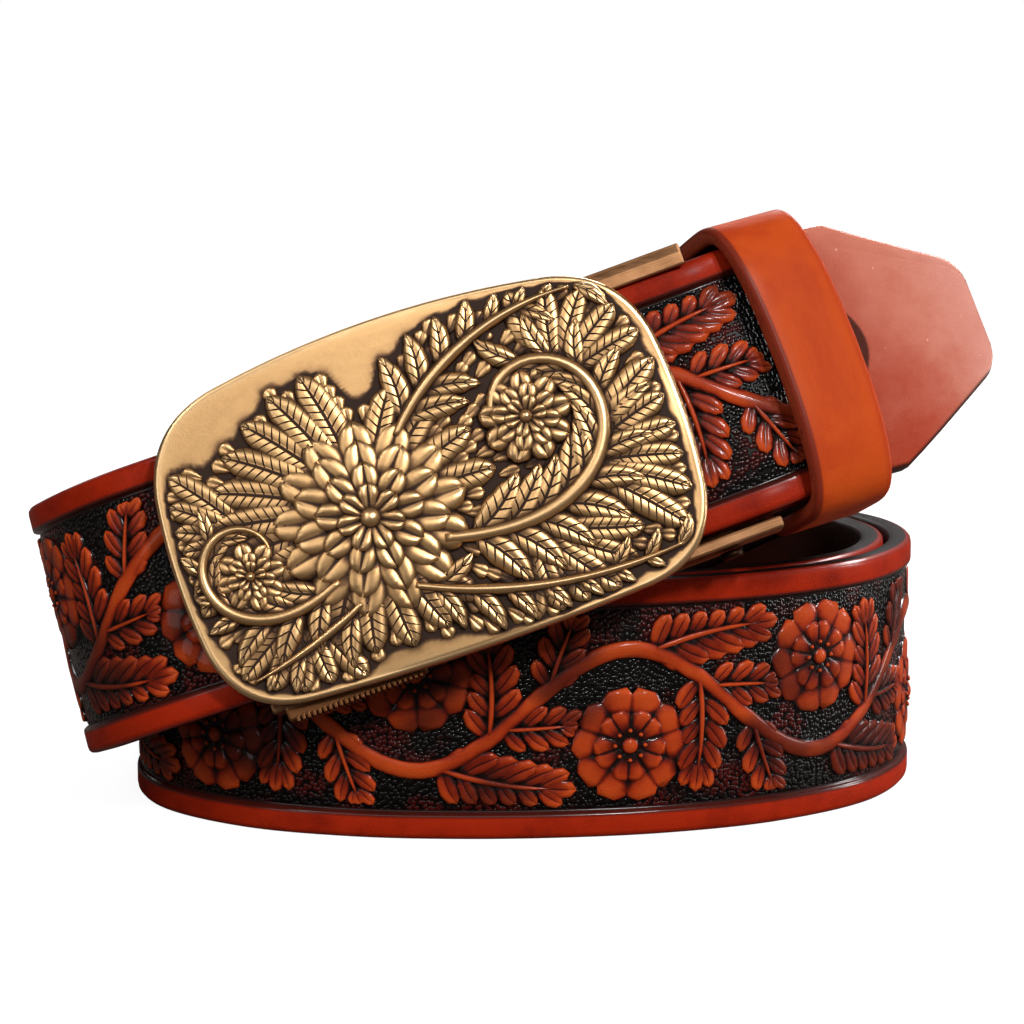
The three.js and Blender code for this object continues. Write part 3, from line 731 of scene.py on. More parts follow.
# Shapes along a ridge: part of the length, width share, height share
ridgeShapes = {
    "leaf": [
        (0, 0.34, 0.6), (0.2, 0.8, 0.85), (0.42, 1, 1), (0.7, 0.82, 1), (0.9, 0.4, 0.95), (1, 0.04, 0.8),
    ],
    "lobe": [
        (0, 0.5, 0.6), (0.3, 0.85, 0.9), (0.62, 1, 1), (0.86, 0.75, 1), (0.96, 0.42, 0.92), (1, 0.08, 0.8),
    ],
    "petal": [
        (0, 0.28, 0.6), (0.35, 0.7, 0.88), (0.7, 1, 1), (0.88, 0.86, 1), (0.97, 0.55, 0.94), (1, 0.2, 0.8),
    ],
    "plume": [
        (0, 0.4, 0.6), (0.15, 0.75, 0.8), (0.55, 1, 1), (0.85, 0.85, 1), (0.95, 0.5, 0.92), (1, 0.1, 0.8),
    ],
    "stem": [(0, 0.8, 0.85), (0.3, 1, 1), (0.7, 0.8, 0.95), (1, 0.35, 0.7)],
    "even": [(0, 1, 1), (1, 1, 1)],
}
# Sections across a ridge: place across from -1 to 1, height share
ridgeSections = {
    "soft": [(1.05, -0.8), (1.0, 0.2), (0.88, 0.66), (0.6, 0.95), (0.12, 0.98), (0, 0.78)],
    "round": [(1.06, -0.9), (1.0, 0.1), (0.86, 0.56), (0.58, 0.92), (0.15, 0.93), (0, 0.68)],
    "cord": [(1.04, -0.8), (1.0, 0.1), (0.82, 0.62), (0.5, 0.9), (0.2, 1.0), (0, 1.02)],
}


# Base gives the ground's height, spacing the pitch of cut lines, reach the part of the line that is used
def addRidge(bm, line, shape, section, width, height, base, rows=12, spacing=0.0, reach=1.0, notch=0.0):
    half = ridgeSections[section]
    across = [(k, h) for k, h in half] + [(-k, h) for k, h in half[-2::-1]]
    spots = []
    for i in range(rows):
        t = i / (rows - 1)
        wide, high = lookUp(ridgeShapes[shape], t)
        spots.append((*line["at"](t * reach), wide * width / 2, high * height, t))
    spots = [spots[0]] + spots + [spots[-1]]
    last = len(spots) - 1

    def placeAt(i, j):  # the first and last rows close the ends down into the ground
        x, y, heading, wide, high, t = spots[i]
        k, share = across[j]
        share = -0.8 if i in (0, last) else share
        back = notch * t ** 4 * (1 - min(abs(k), 1)) * line["length"]
        px = x - math.sin(heading) * wide * k - math.cos(heading) * back
        py = y + math.cos(heading) * wide * k - math.sin(heading) * back
        return (px, py, base(px, py) + (high * share if share > 0 else share * 0.9))

    verts = addGrid(bm, len(spots), len(across), placeAt)
    leaf = bm.verts.layers.float_vector["leaf"]
    for (i, j), vert in verts.items():
        vert[leaf] = (spots[i][5] * line["length"] * reach, min(max(across[j][0], -1), 1), spacing)


def addDome(bm, x, y, radius, height, base, segments=16):
    def placeAt(i, j):
        turn, up = 2 * math.pi * i / segments, math.pi / 2 * (j - 1) / 5
        reach = radius * math.cos(up) * (1.05 if j == 0 else 1)
        return (x + reach * math.cos(turn), y + reach * math.sin(turn), base(x, y) + height * math.sin(up))

    verts = addGrid(bm, segments + 1, 7, placeAt)
    leaf = bm.verts.layers.float_vector["leaf"]
    for vert in verts.values():
        vert[leaf] = (0, 0.5, 0)
    bmesh.ops.remove_doubles(bm, verts=list(verts.values()), dist=0.0001)


def newRelief():
    bm = bmesh.new()
    bm.verts.layers.float_vector.new("leaf")
    return bm


def joinRelief(bm, part):
    mesh = bpy.data.meshes.new("part")
    part.to_mesh(mesh)
    part.free()
    bm.from_mesh(mesh)
    bpy.data.meshes.remove(mesh)


# Lobes of a leaf: first place and span on its rib, angle and how it closes, turn, width, least share shown.
# Swell is the part of a half sine that their sizes follow; the tip's and rib's sizes are shares of the leaf's
lobeSet = {
    "first": 0.04, "span": 0.74, "angle": 60, "closes": 24, "turn": -26, "width": 0.56, "least": 0.4,
    "swell": (0.34, 0.46), "rows": 9,
    "tip": {"length": 0.3, "width": 0.5}, "rib": {"width": 0.2, "height": 1.12, "reach": 0.92},
}


def addLobedLeaf(bm, spine, lobes, spread, height, base, shareOf):  # lobes on both sides of a bending rib
    tip, rib, rows = lobeSet["tip"], lobeSet["rib"], lobeSet["rows"]
    start, more = lobeSet["swell"]
    for i in range(lobes):
        part = lobeSet["first"] + lobeSet["span"] * i / (lobes - 1)
        x, y, heading = spine["at"](part)
        size = spread * math.sin(math.pi * (start + more * part))
        for side in (1, -1):
            angle = math.degrees(heading) + side * (lobeSet["angle"] - lobeSet["closes"] * part)
            lobe = bendingLine(x, y, angle, size, lobeSet["turn"] * side)
            share = shareOf(lobe, size * lobeSet["width"] / 2)
            if share > lobeSet["least"]:
                width, rise = size * lobeSet["width"] * (0.5 + share / 2), height * (0.9 + 0.1 * (i % 2))
                addRidge(bm, lobe, "lobe", "soft", width, rise, base, rows=rows, reach=share)
    x, y, heading = spine["at"](lobeSet["first"] + lobeSet["span"])
    line = bendingLine(x, y, math.degrees(heading), spine["length"] * tip["length"])
    width = spread * tip["width"]
    share = shareOf(line, width / 2)
    if share > lobeSet["least"]:
        addRidge(bm, line, "lobe", "soft", width, height, base, rows=rows, reach=share)
    width, height = spread * rib["width"], height * rib["height"]
    addRidge(bm, spine, "stem", "cord", width, height, base, reach=rib["reach"])


# The strap's tooling: a wavy vine with lobed leaves, and a flower in each of its bends
vineSet = {
    "half": 31, "wave": 8.8, "width": 2.7, "height": 0.66, "room": 14.5, "leafHeight": 0.62,
    "end": 3, "innerWaves": 6, "coilWaves": 10, "frontWaves": 10, "mapMargin": (12, 17),
}
# A flower's rings are count, length, width and height of petals; its beads count, distance, radius and height
flowerSet = {
    "y": -5.4, "reach": 8.6, "gap": 0.6, "lean": 15, "notch": 0.12,
    "rings": ((5, 8.6, 9.4, 0.58), (5, 5.6, 5.8, 0.82)), "dome": (1.6, 1.3), "beads": (8, 2.2, 0.5, 1.12),
}
# Leaves of one half wave: part along it, side, angle off the vine, length, turn, lobes, spread
vineLeaves = [
    (0.10, 1, 36, 19, -22, 6, 6.4), (0.40, 1, 40, 12, -6, 4, 4.8),
    (0.34, -1, 44, 16, -20, 5, 5.8), (0.62, -1, 34, 13, 8, 4, 5.0),
]


def groundHeight(x, y):
    return strapSet["thick"] / 2 - strapSet["sink"]


def vineLine(start, side):  # one half wave, from this side of the panel to the other
    half, wave = vineSet["half"], vineSet["wave"]

    def at(t):
        slope = -wave * math.pi / half * math.sin(math.pi * t) * side
        return (start + half * t, wave * math.cos(math.pi * t) * side, math.atan(slope))

    return at


def wholeVine(start, count):  # all the half waves as one line
    def at(t):
        i = min(int(t * count), count - 1)
        return vineLine(start + i * vineSet["half"], 1 if i % 2 else -1)(t * count - i)

    return {"at": at, "length": vineSet["half"] * count}


def roomFor(flowers):  # how much of a ridge stays on the panel and off the flowers
    around = flowerSet["reach"] - flowerSet["gap"]

    def shareOf(line, halfWidth):
        share = 1.0
        while share > 0:
            x, y, _ = line["at"](share)
            clear = all(math.hypot(x - fx, y - fy) > around for fx, fy in flowers)
            if clear and abs(y) < vineSet["room"] - halfWidth * 0.4:
                return share
            share -= 0.05
        return 0

    return shareOf


def addFlower(bm, x, y, lean):  # two rings of petals, a dome, and beads round it
    for ring, (count, length, width, height) in enumerate(flowerSet["rings"]):
        for i in range(count):
            line = bendingLine(x, y, 360 * (i + 0.5 * ring) / count + lean, length)
            addRidge(bm, line, "petal", "soft", width, height, groundHeight, notch=flowerSet["notch"])
    addDome(bm, x, y, *flowerSet["dome"], groundHeight)
    count, away, radius, height = flowerSet["beads"]
    for i in range(count):
        angle = 2 * math.pi * i / count
        addDome(bm, x + away * math.cos(angle), y + away * math.sin(angle), radius, height, groundHeight, 8)


def addVineHalf(bm, start, side):
    vine = vineLine(start, side)
    flowerY = flowerSet["y"] * side
    flowers = [(start, flowerY), (start + vineSet["half"], -flowerY)]
    shareOf = roomFor(flowers)
    for part, leafSide, angle, length, turn, lobes, spread in vineLeaves:
        x, y, heading = vine(part)
        toward = math.degrees(heading) + angle * side * leafSide
        reach = shareOf(bendingLine(x, y, toward, length, turn * side), 0.5)
        spine = bendingLine(x, y, toward, length * reach, turn * side * reach)
        addLobedLeaf(bm, spine, lobes, spread, vineSet["leafHeight"], groundHeight, shareOf)
    addFlower(bm, *flowers[0], flowerSet["lean"] * side)


def makeTooling(name, material, start, count):  # an even count of half waves, so that the next piece joins
    bm = newRelief()
    for i in range(count):
        part = newRelief()
        addVineHalf(part, start + i * vineSet["half"], 1 if i % 2 else -1)
        joinRelief(bm, part)
    addRidge(bm, wholeVine(start, count), "even", "cord", vineSet["width"], vineSet["height"], groundHeight,
             rows=20 * count)
    last = start + count * vineSet["half"]
    past, wide = vineSet["mapMargin"]
    heights = reliefHeights(bm, (start - past, -wide), (last + past, wide), groundHeight(0, 0))
    soft = 0.5 * blurred(heights, 0.9) + 0.5 * blurred(heights, 0.45)
    markCavities(bm, soft, (start - past, -wide))
    finishPiece(name, bm, onStrap, [material])


def makeVine(material):  # from the clamped end to the keeper, but for a length that the coil hides
    end, half = plainFrom - vineSet["end"], vineSet["half"]
    halfWaves = int((end - vineSet["end"]) / half)
    start = end - halfWaves * half
    shown = vineSet["coilWaves"] + vineSet["frontWaves"]
    makeTooling("innerTooling", material, start, vineSet["innerWaves"])
    makeTooling("coilTooling", material, start + (halfWaves - shown) * half, vineSet["coilWaves"])
    makeTooling("frontTooling", material, end - vineSet["frontWaves"] * half, vineSet["frontWaves"])


# The keeper loop, a little narrower than its solid, further along, leaning and bowed
keeperFit = {"width": 12.8, "shift": 0.9, "lean": -0.02, "bow": 1.6, "edge": 0.75}


def makeKeeper(material):
    half, t, roundness = keeperFit["width"] / 2, keeperSet["thick"] / 2, keeperFit["edge"]
    section = []
    for middle, first in (((half, t), 0), ((-half, t), 90), ((-half, -t), 180), ((half, -t), 270)):
        cx = middle[0] - math.copysign(roundness, middle[0])
        cy = middle[1] - math.copysign(roundness, middle[1])
        for k in range(5):
            angle = math.radians(first + 22.5 * k)
            section.append((cx + roundness * math.cos(angle), cy + roundness * math.sin(angle)))
        if first == 0:
            section += [(half * 0.5, t), (0, t), (-half * 0.5, t)]
    count = 144
    row = routeAt(np.array([keeperStart]))[0]
    origin, width, out, along = row[:3], row[3:6], row[6:9], row[9:12]
    around = 2 * (keeperSet["halfHeight"] + keeperSet["halfDepth"]) * 2 / count

    def wrap(flat):
        angle = flat[:, 0] / around * 2 * math.pi / count + math.pi
        c, s = np.cos(angle), np.sin(angle)
        thick = flat[:, 2]
        power = 2 / np.where(thick < 0, keeperSet["inner"], keeperSet["outer"])
        forward = (keeperSet["halfDepth"] + thick) * np.sign(c) * np.abs(c) ** power - keeperSet["back"]
        across = -(keeperSet["halfHeight"] + thick) * np.sign(s) * np.abs(s) ** power
        bow = keeperFit["bow"] * (1 - (across / keeperSet["halfHeight"]) ** 2)
        further = flat[:, 1] + keeperFit["shift"] + keeperFit["lean"] * across + bow
        return origin + further[:, None] * along + across[:, None] * width + forward[:, None] * out

    bm = bmesh.new()
    columns = len(section) + 1
    addGrid(bm, count + 1, columns, lambda i, j: (i * around, *section[j % (columns - 1)]))
    piece = finishPiece("keeperLoop", bm, wrap, [material], "keeper")
    sealed = bmesh.new()  # the loop's ends meet, so they are joined after wrapping
    sealed.from_mesh(piece.data)
    bmesh.ops.remove_doubles(sealed, verts=sealed.verts, dist=0.00002)
    bmesh.ops.recalc_face_normals(sealed, faces=sealed.faces)
    sealed.to_mesh(piece.data)
    sealed.free()


# The buckle's plate
def plateOutline(perSide, perCorner):
    p = plateSet
    corners = [(-p["halfLength"], p["bottom"]), (p["halfLength"], p["bottom"]),
               (p["halfLength"], p["top"]), (-p["halfLength"], p["top"])]
    bows = [p["bottomBow"], p["endBow"], p["topBow"], p["endBow"]]

    def sideAt(i, t):
        (ax, ay), (bx, by) = corners[i], corners[(i + 1) % 4]
        span = math.hypot(bx - ax, by - ay)
        bulge = bows[i] * 4 * t * (1 - t)
        x = ax + (bx - ax) * t + (by - ay) / span * bulge
        y = ay + (by - ay) * t + (ax - bx) / span * bulge
        return np.array((x, y))

    points = []
    spans = [2 * p["halfLength"], p["top"] - p["bottom"]]
    for i in range(4):
        cut = p["corner"] / spans[i % 2]
        nextCut = p["corner"] / spans[(i + 1) % 2]
        points += [sideAt(i, cut + (1 - 2 * cut) * k / perSide) for k in range(perSide + 1)]
        start, end = sideAt(i, 1 - cut), sideAt((i + 1) % 4, nextCut)
        corner = np.array(corners[(i + 1) % 4])
        for k in range(1, perCorner):
            t = k / perCorner
            a, b = start + (corner - start) * t, corner + (end - corner) * t
            points.append(a + (b - a) * t)
    return points


def makePlateBody():
    outline = plateOutline(48, 20)
    rim, bevel = plateSet["rim"], plateSet["bevel"]
    levels = [  # share of the outline and height, from the middle of the back round to the face
        (0.02, 0), (0.97, 0), (0.993, 0.12), (1, 0.5), (1, rim - 0.35), (0.998, rim), (0.993, rim + 0.3),
        (0.985, bevel + 0.05), (0.975, bevel),
    ]
    levels += [(0.965 - 0.945 * k / 84, None) for k in range(85)]
    bm = newRelief()
    count = len(outline)

    def placeAt(i, j):
        x, y = outline[i % count]
        scale, height = levels[j]
        x, y = x * scale, y * scale
        return (x, y, faceHeight(x, y) if height is None else height)

    addGrid(bm, count + 1, len(levels), placeAt)
    bmesh.ops.remove_doubles(bm, verts=bm.verts, dist=0.0005)
    bmesh.ops.holes_fill(bm, edges=[edge for edge in bm.edges if edge.is_boundary], sides=0)
    bmesh.ops.recalc_face_normals(bm, faces=bm.faces)
    return bm


# Rosettes: middle, then rings of petals (count, length, width, height)
plateRosettes = [
    (-9, -2, ((13, 14, 6.6, 1.15), (11, 11.2, 6.6, 1.5), (9, 8, 5.4, 1.95), (7, 5, 4.2, 2.35))),
    (16.2, 4.6, ((9, 6.6, 4.4, 1.4), (8, 5, 3.8, 1.75), (6, 3.2, 3.0, 2.0))),
    (-27.6, -4.4, ((8, 5, 3.6, 1.3), (7, 3.6, 3.0, 1.55), (5, 2.3, 2.2, 1.8))),
]
# Fans of plumes: x, y, first angle, last angle, count, length, width, turn, start
plateFans = [
    (-9, -2, 92, 186, 8, 19, 5.4, 16, 4),
    (-9, -2, 10, 70, 4, 15, 5, -16, 4),
    (-9, -2, 232, 300, 5, 15, 5, 12, 4),
    (20, -4, -40, 40, 6, 17, 5, -14, 3),
    (22, 8, 18, 104, 5, 14, 4.8, -12, 3),
    (-25, 0, 122, 212, 7, 14, 4.4, 10, 2.5),
    (-22, -11, 208, 292, 5, 12, 4.4, 10, 3),
    (12, -10, 252, 336, 6, 13, 4.6, 12, 3),
]
# How plumes, leaves of stems and scales are laid: widths are shares of their lengths or of the given width
plumeSet = {"width": 1.05, "height": 0.82, "change": 0.13, "rows": 20, "cuts": 1.25}
leafSet = {
    "first": 0.06, "angle": 30, "turn": 34, "width": 0.46, "height": 1.02,
    "apart": 1.9, "rows": 14, "cuts": 1.6,
}
scaleSet = {"rows": (6, 27), "pitch": 1.9, "width": 2.3, "length": 3.1, "height": 0.5, "fill": 0.34}
# Scrolled stems: x, y, angle, length, turn, curl, leaves, leaf length, width, last part with a leaf
plateStems = [
    (0, -8, -14, 66, 36, 330, 11, 11.5, 2.6, 0.72),
    (-16, -9, 205, 40, -60, -250, 7, 9, 2.2, 0.7),
    (-2, 8, 48, 38, -58, 0, 8, 9.5, 2, 0.9),
    (-6, -13, -26, 42, 36, 0, 8, 8, 1.8, 0.9),
    (-14, -13, 206, 22, -20, 0, 5, 8, 1.6, 0.9),
]
trimLine = np.array(plateOutline(24, 8)) * plateSet["trim"]


def insidePlate(x, y):
    a, b = trimLine, np.roll(trimLine, -1, axis=0)
    crosses = (a[:, 1] > y) != (b[:, 1] > y)
    a, b = a[crosses], b[crosses]
    return bool(np.sum(x < a[:, 0] + (b[:, 0] - a[:, 0]) * (y - a[:, 1]) / (b[:, 1] - a[:, 1])) % 2)


def plateShare(line):  # the share of a ridge that stays on the plate
    share = 1.0
    while share > 0.25:
        if insidePlate(*line["at"](share)[:2]):
            return share
        share -= 0.04
    return 0


def addPlateLeaf(bm, line, shape, width, height, rows, spacing=0.0):
    share = plateShare(line)
    if share > 0.3:
        addRidge(bm, line, shape, "round", width * (0.55 + 0.45 * share), height, faceHeight,
                 rows=rows, spacing=spacing, reach=share)


def addFans(bm):
    for x, y, first, last, count, length, width, turn, start in plateFans:
        for i in range(count):
            angle = first + (last - first) * i / (count - 1)
            px = x + math.cos(math.radians(angle)) * start
            py = y + math.sin(math.radians(angle)) * start
            line = bendingLine(px, py, angle, length, turn)
            wide = width * plumeSet["width"]
            height = plumeSet["height"] + plumeSet["change"] * (i % 2)
            addPlateLeaf(bm, line, "plume", wide, height, plumeSet["rows"], plumeSet["cuts"])


def addStems(bm):  # a leaf is left out where an earlier stem or its leaves are near
    taken, first = [], leafSet["first"]
    for x, y, angle, length, turn, curl, leaves, leafLength, width, last in plateStems:
        line = bendingLine(x, y, angle, length, turn, curl)
        own = [line["at"](i / 20)[:2] for i in range(21)]
        for i in range(leaves):
            part = first + (last - first) * i / (leaves - 1)
            px, py, heading = line["at"](part)
            size = leafLength * (1 - 0.45 * part) * (0.92 + 0.16 * random.random())
            for side in (1, -1):
                toward = math.degrees(heading) + side * leafSet["angle"]
                leaf = bendingLine(px, py, toward, size, side * leafSet["turn"])
                height = leafSet["height"] + 0.16 * random.random()
                ends = [leaf["at"](t)[:2] for t in (0.5, 0.75, 1)]
                if all(math.dist(a, b) > leafSet["apart"] for a in ends for b in taken):
                    wide = size * leafSet["width"]
                    addPlateLeaf(bm, leaf, "leaf", wide, height, leafSet["rows"], leafSet["cuts"])
                    own += ends
        taken += own
        addRidge(bm, line, "stem", "cord", width, 1.5, faceHeight, rows=48, reach=plateShare(line) or 1)


def addRosettes(bm):
    for x, y, rings in plateRosettes:
        for ring, (count, length, width, height) in enumerate(rings):
            for i in range(count):
                line = bendingLine(x, y, 360 * (i + 0.5 * (ring % 2)) / count, length)
                addPlateLeaf(bm, line, "petal", width, height, 14)
        core = rings[-1][1] * 0.42
        addDome(bm, x, y, core, rings[-1][3] + 0.35, faceHeight, 20)


def addScales(bm, leaves, ground, low):  # rings of small scales round the main rosette, between leaves
    x, y, _ = plateRosettes[0]
    filled = blurred((leaves > ground + crowdSet["leaf"]) * 1.0, crowdSet["reach"])
    for ring in range(*scaleSet["rows"]):
        radius = ring * scaleSet["pitch"]
        count = int(2 * math.pi * radius / scaleSet["width"])
        for i in range(count):
            angle = 360 * (i + 0.5 * (ring % 2)) / count
            c, s = math.cos(math.radians(angle)), math.sin(math.radians(angle))
            line = bendingLine(x + radius * c, y + radius * s, angle, scaleSet["length"])
            px, py, _ = line["at"](0.6)
            if insidePlate(px, py):
                i, j = int((px - low[0]) / cell), int((py - low[1]) / cell)
                if filled[i, j] > scaleSet["fill"] and leaves[i, j] < ground[i, j] + 0.6:
                    addPlateLeaf(bm, line, "petal", scaleSet["width"] * 1.05, scaleSet["height"], 8)


def makeFoliage():
    bm = newRelief()
    for add in (addFans, addStems, addRosettes):
        part = newRelief()
        add(part)
        joinRelief(bm, part)
    return bm


# Height maps of a relief, on cells of a quarter of a millimetre, and how leaves crowd the ground between them
cell = 0.25
crowdSet = {"leaf": 0.3, "reach": 2.1, "from": 0.36, "range": 0.14, "depth": 0.3}


def reliefHeights(bm, low, high, floor):  # the highest surface over each cell
    shape = (int((high[0] - low[0]) / cell) + 1, int((high[1] - low[1]) / cell) + 1)
    heights = np.full(shape, float(floor))
    mix = [(a / 5, b / 5, 1 - (a + b) / 5) for a in range(6) for b in range(6 - a)]
    corners = np.array([[loop.vert.co[:] for loop in loops] for loops in bm.calc_loop_triangles()])
    for a, b, c in mix:
        p = corners[:, 0] * a + corners[:, 1] * b + corners[:, 2] * c
        i = np.clip(((p[:, 0] - low[0]) / cell).astype(int), 0, shape[0] - 1)
        j = np.clip(((p[:, 1] - low[1]) / cell).astype(int), 0, shape[1] - 1)
        np.maximum.at(heights, (i, j), p[:, 2])
    return heights


def blurred(heights, radius):
    count = int(radius * 3 / cell)
    kernel = np.exp(-0.5 * (np.arange(-count, count + 1) * cell / radius) ** 2)
    kernel /= kernel.sum()

    def smooth(line):
        return np.convolve(np.pad(line, count, mode="edge"), kernel, mode="valid")

    return np.apply_along_axis(smooth, 1, np.apply_along_axis(smooth, 0, heights))


def markCavities(bm, soft, low, crowd=None):  # how far each point lies under the softened surface
    layer = bm.verts.layers.float.new("cavity")
    for vert in bm.verts:
        i = min(max(int((vert.co.x - low[0]) / cell), 0), soft.shape[0] - 1)
        j = min(max(int((vert.co.y - low[1]) / cell), 0), soft.shape[1] - 1)
        vert[layer] = soft[i, j] - vert.co.z + (crowd[i, j] if crowd is not None else 0)


def makePlate(material):
    low, high = plateSet["map"]
    body, foliage = makePlateBody(), makeFoliage()
    ground = reliefHeights(body, low, high, 0)
    heights = np.maximum(ground, reliefHeights(foliage, low, high, 0))
    scales = newRelief()
    addScales(scales, heights, ground, low)
    joinRelief(foliage, scales)
    heights = np.maximum(ground, reliefHeights(foliage, low, high, 0))
    soft = 0.3 * blurred(heights, 1.1) + 0.7 * blurred(heights, 0.5)
    filled = blurred((heights > ground + crowdSet["leaf"]) * 1.0, crowdSet["reach"])
    crowd = np.clip((filled - crowdSet["from"]) / crowdSet["range"], 0, 1) * crowdSet["depth"]
    markCavities(body, soft, low, crowd)  # the ground is dirtier where leaves crowd it
    markCavities(foliage, soft, low)
    layer = body.verts.layers.float["cavity"]
    for vert in body.verts:
        if vert.co.z < plateSet["rim"]:
            vert[layer] = -0.1  # the rim's side is clean
    finishPiece("plateBody", body, onPlate, [material], "buckle_plate")
    finishPiece("plateRelief", foliage, onPlate, [material])


# The frame behind the plate
frameSet = {
    "railInner": 20, "railThick": 1.7, "left": -39.5, "right": 37.5, "front": 3.1,
    "bridge": (-32, -25, -4.3, 1.7), "clamp": (15, 31, -8.5, 1.5), "overlap": 0.4, "step": 0.4,
    "lip": (18.5, 2.15),
    "sill": {"from": -37.7, "to": -17, "low": 23.5, "back": -2},
    "teeth": {
        "from": -36.6, "to": -18, "pitch": 0.8, "width": 0.48, "height": 0.35, "up": 0.5, "proud": 0.15,
        "back": -1.6,
    },
    "bevels": {"bridge": 0.2, "rail": 0.35, "clamp": 0.3, "lip": 0.3, "sill": 0.35, "tooth": 0.1},
    "screw": {"u": 29.5, "n": -2.2, "head": 1.5, "root": 1.7, "length": 1.1, "gap": 0.3, "bevel": 0.3},
}


def addBlock(bm, low, high, bevel):
    cube = bmesh.ops.create_cube(bm, size=1)
    for vert in cube["verts"]:
        vert.co = [a + (b - a) * (c + 0.5) for a, b, c in zip(low, high, vert.co)]
    edges = list({edge for vert in cube["verts"] for edge in vert.link_edges})
    bmesh.ops.bevel(bm, geom=edges, offset=bevel, offset_type="OFFSET", segments=2, profile=0.5,
                    affect="EDGES", material=-1)


def makeFrame(material):  # two bridges behind the strap, its side rails, and the ridged sill below
    f, bevels = frameSet, frameSet["bevels"]
    outer = f["railInner"] + f["railThick"]
    reach = f["railInner"] + f["overlap"]
    bm = bmesh.new()
    for first, last, back, thick in (f["bridge"], f["clamp"]):
        addBlock(bm, (first, -reach, back), (last, reach, back + thick), bevels["bridge"])
    for low, high in ((f["railInner"], outer), (-outer, -f["railInner"])):
        addBlock(bm, (f["left"], low, f["bridge"][2]), (f["right"], high, f["front"]), bevels["rail"])
        end = (f["clamp"][1], high, f["front"] - f["step"])
        addBlock(bm, (f["clamp"][0], low, f["clamp"][2]), end, bevels["clamp"])
    addBlock(bm, (f["left"], f["lip"][0], f["lip"][1]), (f["right"], outer, f["front"]), bevels["lip"])
    sill, teeth = f["sill"], f["teeth"]
    end = (sill["to"], -f["railInner"] - 0.2, f["front"])
    addBlock(bm, (sill["from"], -sill["low"], sill["back"]), end, bevels["sill"])
    u = teeth["from"]
    while u < teeth["to"]:
        low = -sill["low"] - teeth["height"]
        high, front = -sill["low"] + teeth["up"], f["front"] + teeth["proud"]
        addBlock(bm, (u, low, teeth["back"]), (u + teeth["width"], high, front), bevels["tooth"])
        u += teeth["pitch"]
    finishPiece("buckleFrame", bm, inBuckle, [material], "buckle_frame", smooth=False)


def makeScrew(material):
    screw = frameSet["screw"]
    bm = bmesh.new()
    bmesh.ops.create_cone(bm, cap_ends=True, segments=24, radius1=screw["root"], radius2=screw["head"],
                          depth=screw["length"])
    rim = [edge for edge in bm.edges if all(vert.co.z > 0 for vert in edge.verts)]
    bmesh.ops.bevel(bm, geom=rim, offset=screw["bevel"], segments=3, profile=0.5, affect="EDGES", material=-1)
    v = -frameSet["railInner"] - frameSet["railThick"] - screw["gap"] - screw["length"] / 2
    for vert in bm.verts:
        x, y, z = vert.co
        vert.co = (screw["u"] + x, v - z, screw["n"] + y)
    bmesh.ops.recalc_face_normals(bm, faces=bm.faces)
    finishPiece("clampScrew", bm, inBuckle, [material], "clamp_screw")


# Camera, light and floor. The camera's place is in millimetres like the part's, the lights' in metres
cameraSet = {"place": (-1, -495, 116), "down": 8.5, "lens": 111.97}
sunSet = {"toward": (-0.34, 0.77, -0.54), "strength": 1.9, "angle": 7}
lightAim = (0, -0.03, 0.05)
# Boxes over the camera and behind, strips and spots for the glare on edges: place, size, power
lightBoxes = {
    "frontBox": ((-0.28, -1.08, 0.78), (1.0, 0.5), 2.7),
    "backStrip": ((0.35, 0.42, 0.46), (0.8, 0.08), 5.5),
    "sideBox": ((0.85, 0.1, 0.2), (0.12, 0.35), 3.6),
    "leftBox": ((-0.75, -0.8, 0.22), (0.3, 0.4), 1.2),
    "rightSpot": ((0.42, -0.6, 0.62), (0.04, 0.04), 2.4),
    "leftSpot": ((-0.5, -0.45, 0.6), (0.04, 0.04), 1.0),
    "backBox": ((-0.5, 1.1, 0.7), (0.9, 0.5), 2.6),
}
# White to the camera, and darker in what the belt reflects, as in a photographer's dark studio
roomSet = {
    "around": (1, 0.98, 0.96, 1), "strength": 0.1, "floor": (0.16, 0.16, 0.16, 1), "glow": 0.93,
    "reflected": (0.12, 0.105, 0.095, 1), "radius": 12,
}


def makeCamera():
    data = bpy.data.cameras.new("camera")
    data.lens = cameraSet["lens"]
    data.sensor_width = 36
    data.clip_start, data.clip_end = 0.01, 50
    camera = bpy.data.objects.new("camera", data)
    camera.location = (np.array(cameraSet["place"]) + partShift) * mm
    camera.rotation_euler = (math.radians(90 - cameraSet["down"]), 0, 0)
    scene.collection.objects.link(camera)
    scene.camera = camera


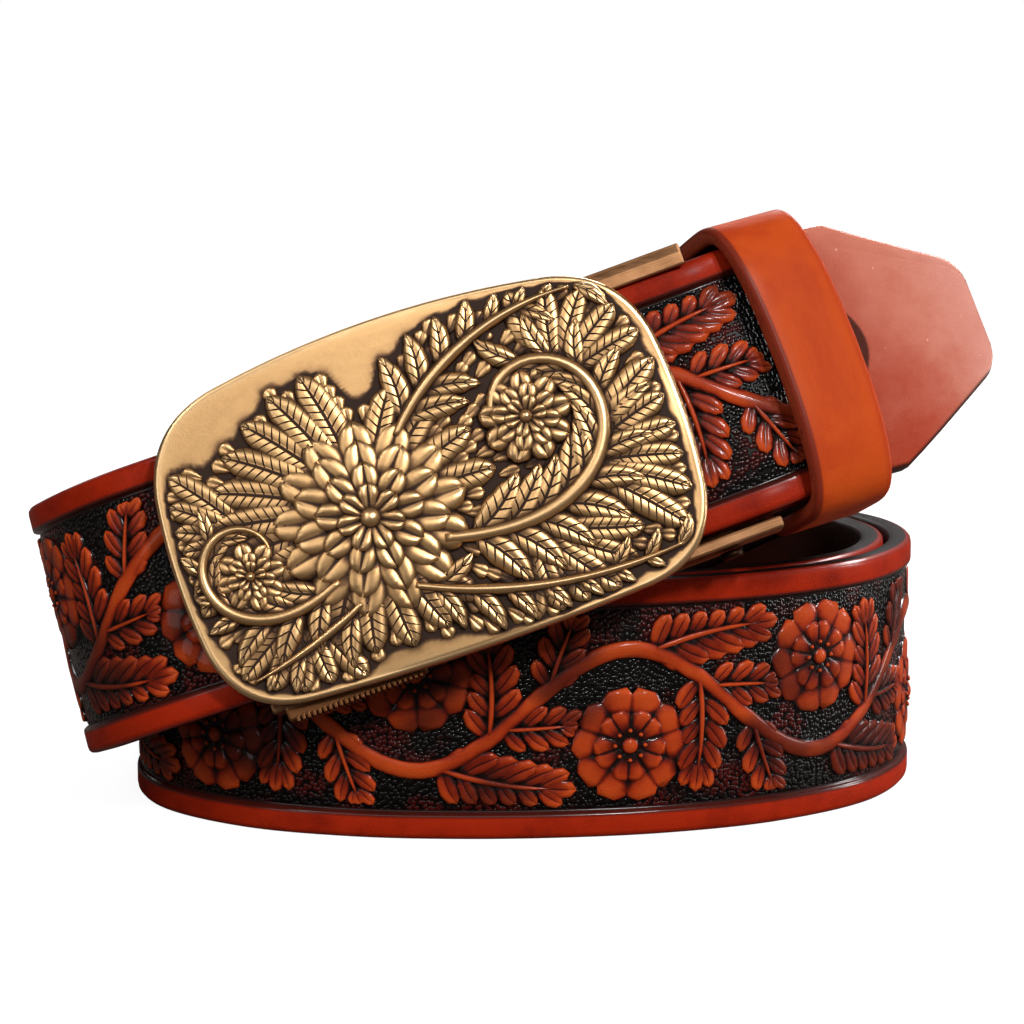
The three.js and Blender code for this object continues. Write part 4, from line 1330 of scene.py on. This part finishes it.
def addLight(name, kind, energy, toward, place=(0, 0, 0)):
    data = bpy.data.lights.new(name, kind)
    data.energy = energy
    light = bpy.data.objects.new(name, data)
    light.location = place
    light.rotation_euler = Vector(toward).to_track_quat("-Z", "Y").to_euler()
    scene.collection.objects.link(light)
    return data


def makeLights():
    sun = addLight("keySun", "SUN", sunSet["strength"], sunSet["toward"])
    sun.angle = math.radians(sunSet["angle"])
    for name, (place, size, power) in lightBoxes.items():
        box = addLight(name, "AREA", power, Vector(lightAim) - Vector(place), place)
        box.shape = "RECTANGLE"
        box.size, box.size_y = size


def mixForCamera(tree, reflected, seen, output):  # the camera's own rays meet one shader, the rest another
    camera = addNode(tree, "ShaderNodeLightPath").outputs["Is Camera Ray"]
    mixed = addNode(tree, "ShaderNodeMixShader", {0: camera, 1: reflected.outputs[0], 2: seen.outputs[0]})
    setInputs(tree, tree.nodes[output], {"Surface": mixed.outputs[0]})


def makeRoom():
    world = bpy.data.worlds.new("studio")
    scene.world = world
    world.use_nodes = True
    tree = world.node_tree
    seen = tree.nodes["Background"]
    setInputs(tree, seen, {"Color": (1, 1, 1, 1)})
    inputs = {"Color": roomSet["around"], "Strength": roomSet["strength"]}
    mixForCamera(tree, addNode(tree, "ShaderNodeBackground", inputs), seen, "World Output")
    scene.view_settings.view_transform = "Standard"


def makeFloor():
    bm = bmesh.new()
    bmesh.ops.create_circle(bm, cap_ends=True, segments=64, radius=roomSet["radius"])
    mesh = bpy.data.meshes.new("floor")
    bm.to_mesh(mesh)
    bm.free()
    material, tree, shader = newMaterial("floorWhite")
    setInputs(tree, shader, {
        "Base Color": roomSet["floor"], "Roughness": 0.9,
        "Emission Color": (1, 1, 1, 1), "Emission Strength": roomSet["glow"],
    })
    dark = addNode(tree, "ShaderNodeBsdfDiffuse", {"Color": roomSet["reflected"]})
    mixForCamera(tree, dark, shader, "Material Output")
    mesh.materials.append(material)
    floor = bpy.data.objects.new("floor", mesh)
    scene.collection.objects.link(floor)


makeCamera()
makeLights()
makeRoom()
makeFloor()
print("the camera, lights and floor are set")
makeStrap([strapLeather(), groundLeather()])
makeVine(motifLeather())
makeKeeper(keeperLeather())
makePlate(castBrass())
brass = frameBrass()
makeFrame(brass)
makeScrew(brass)
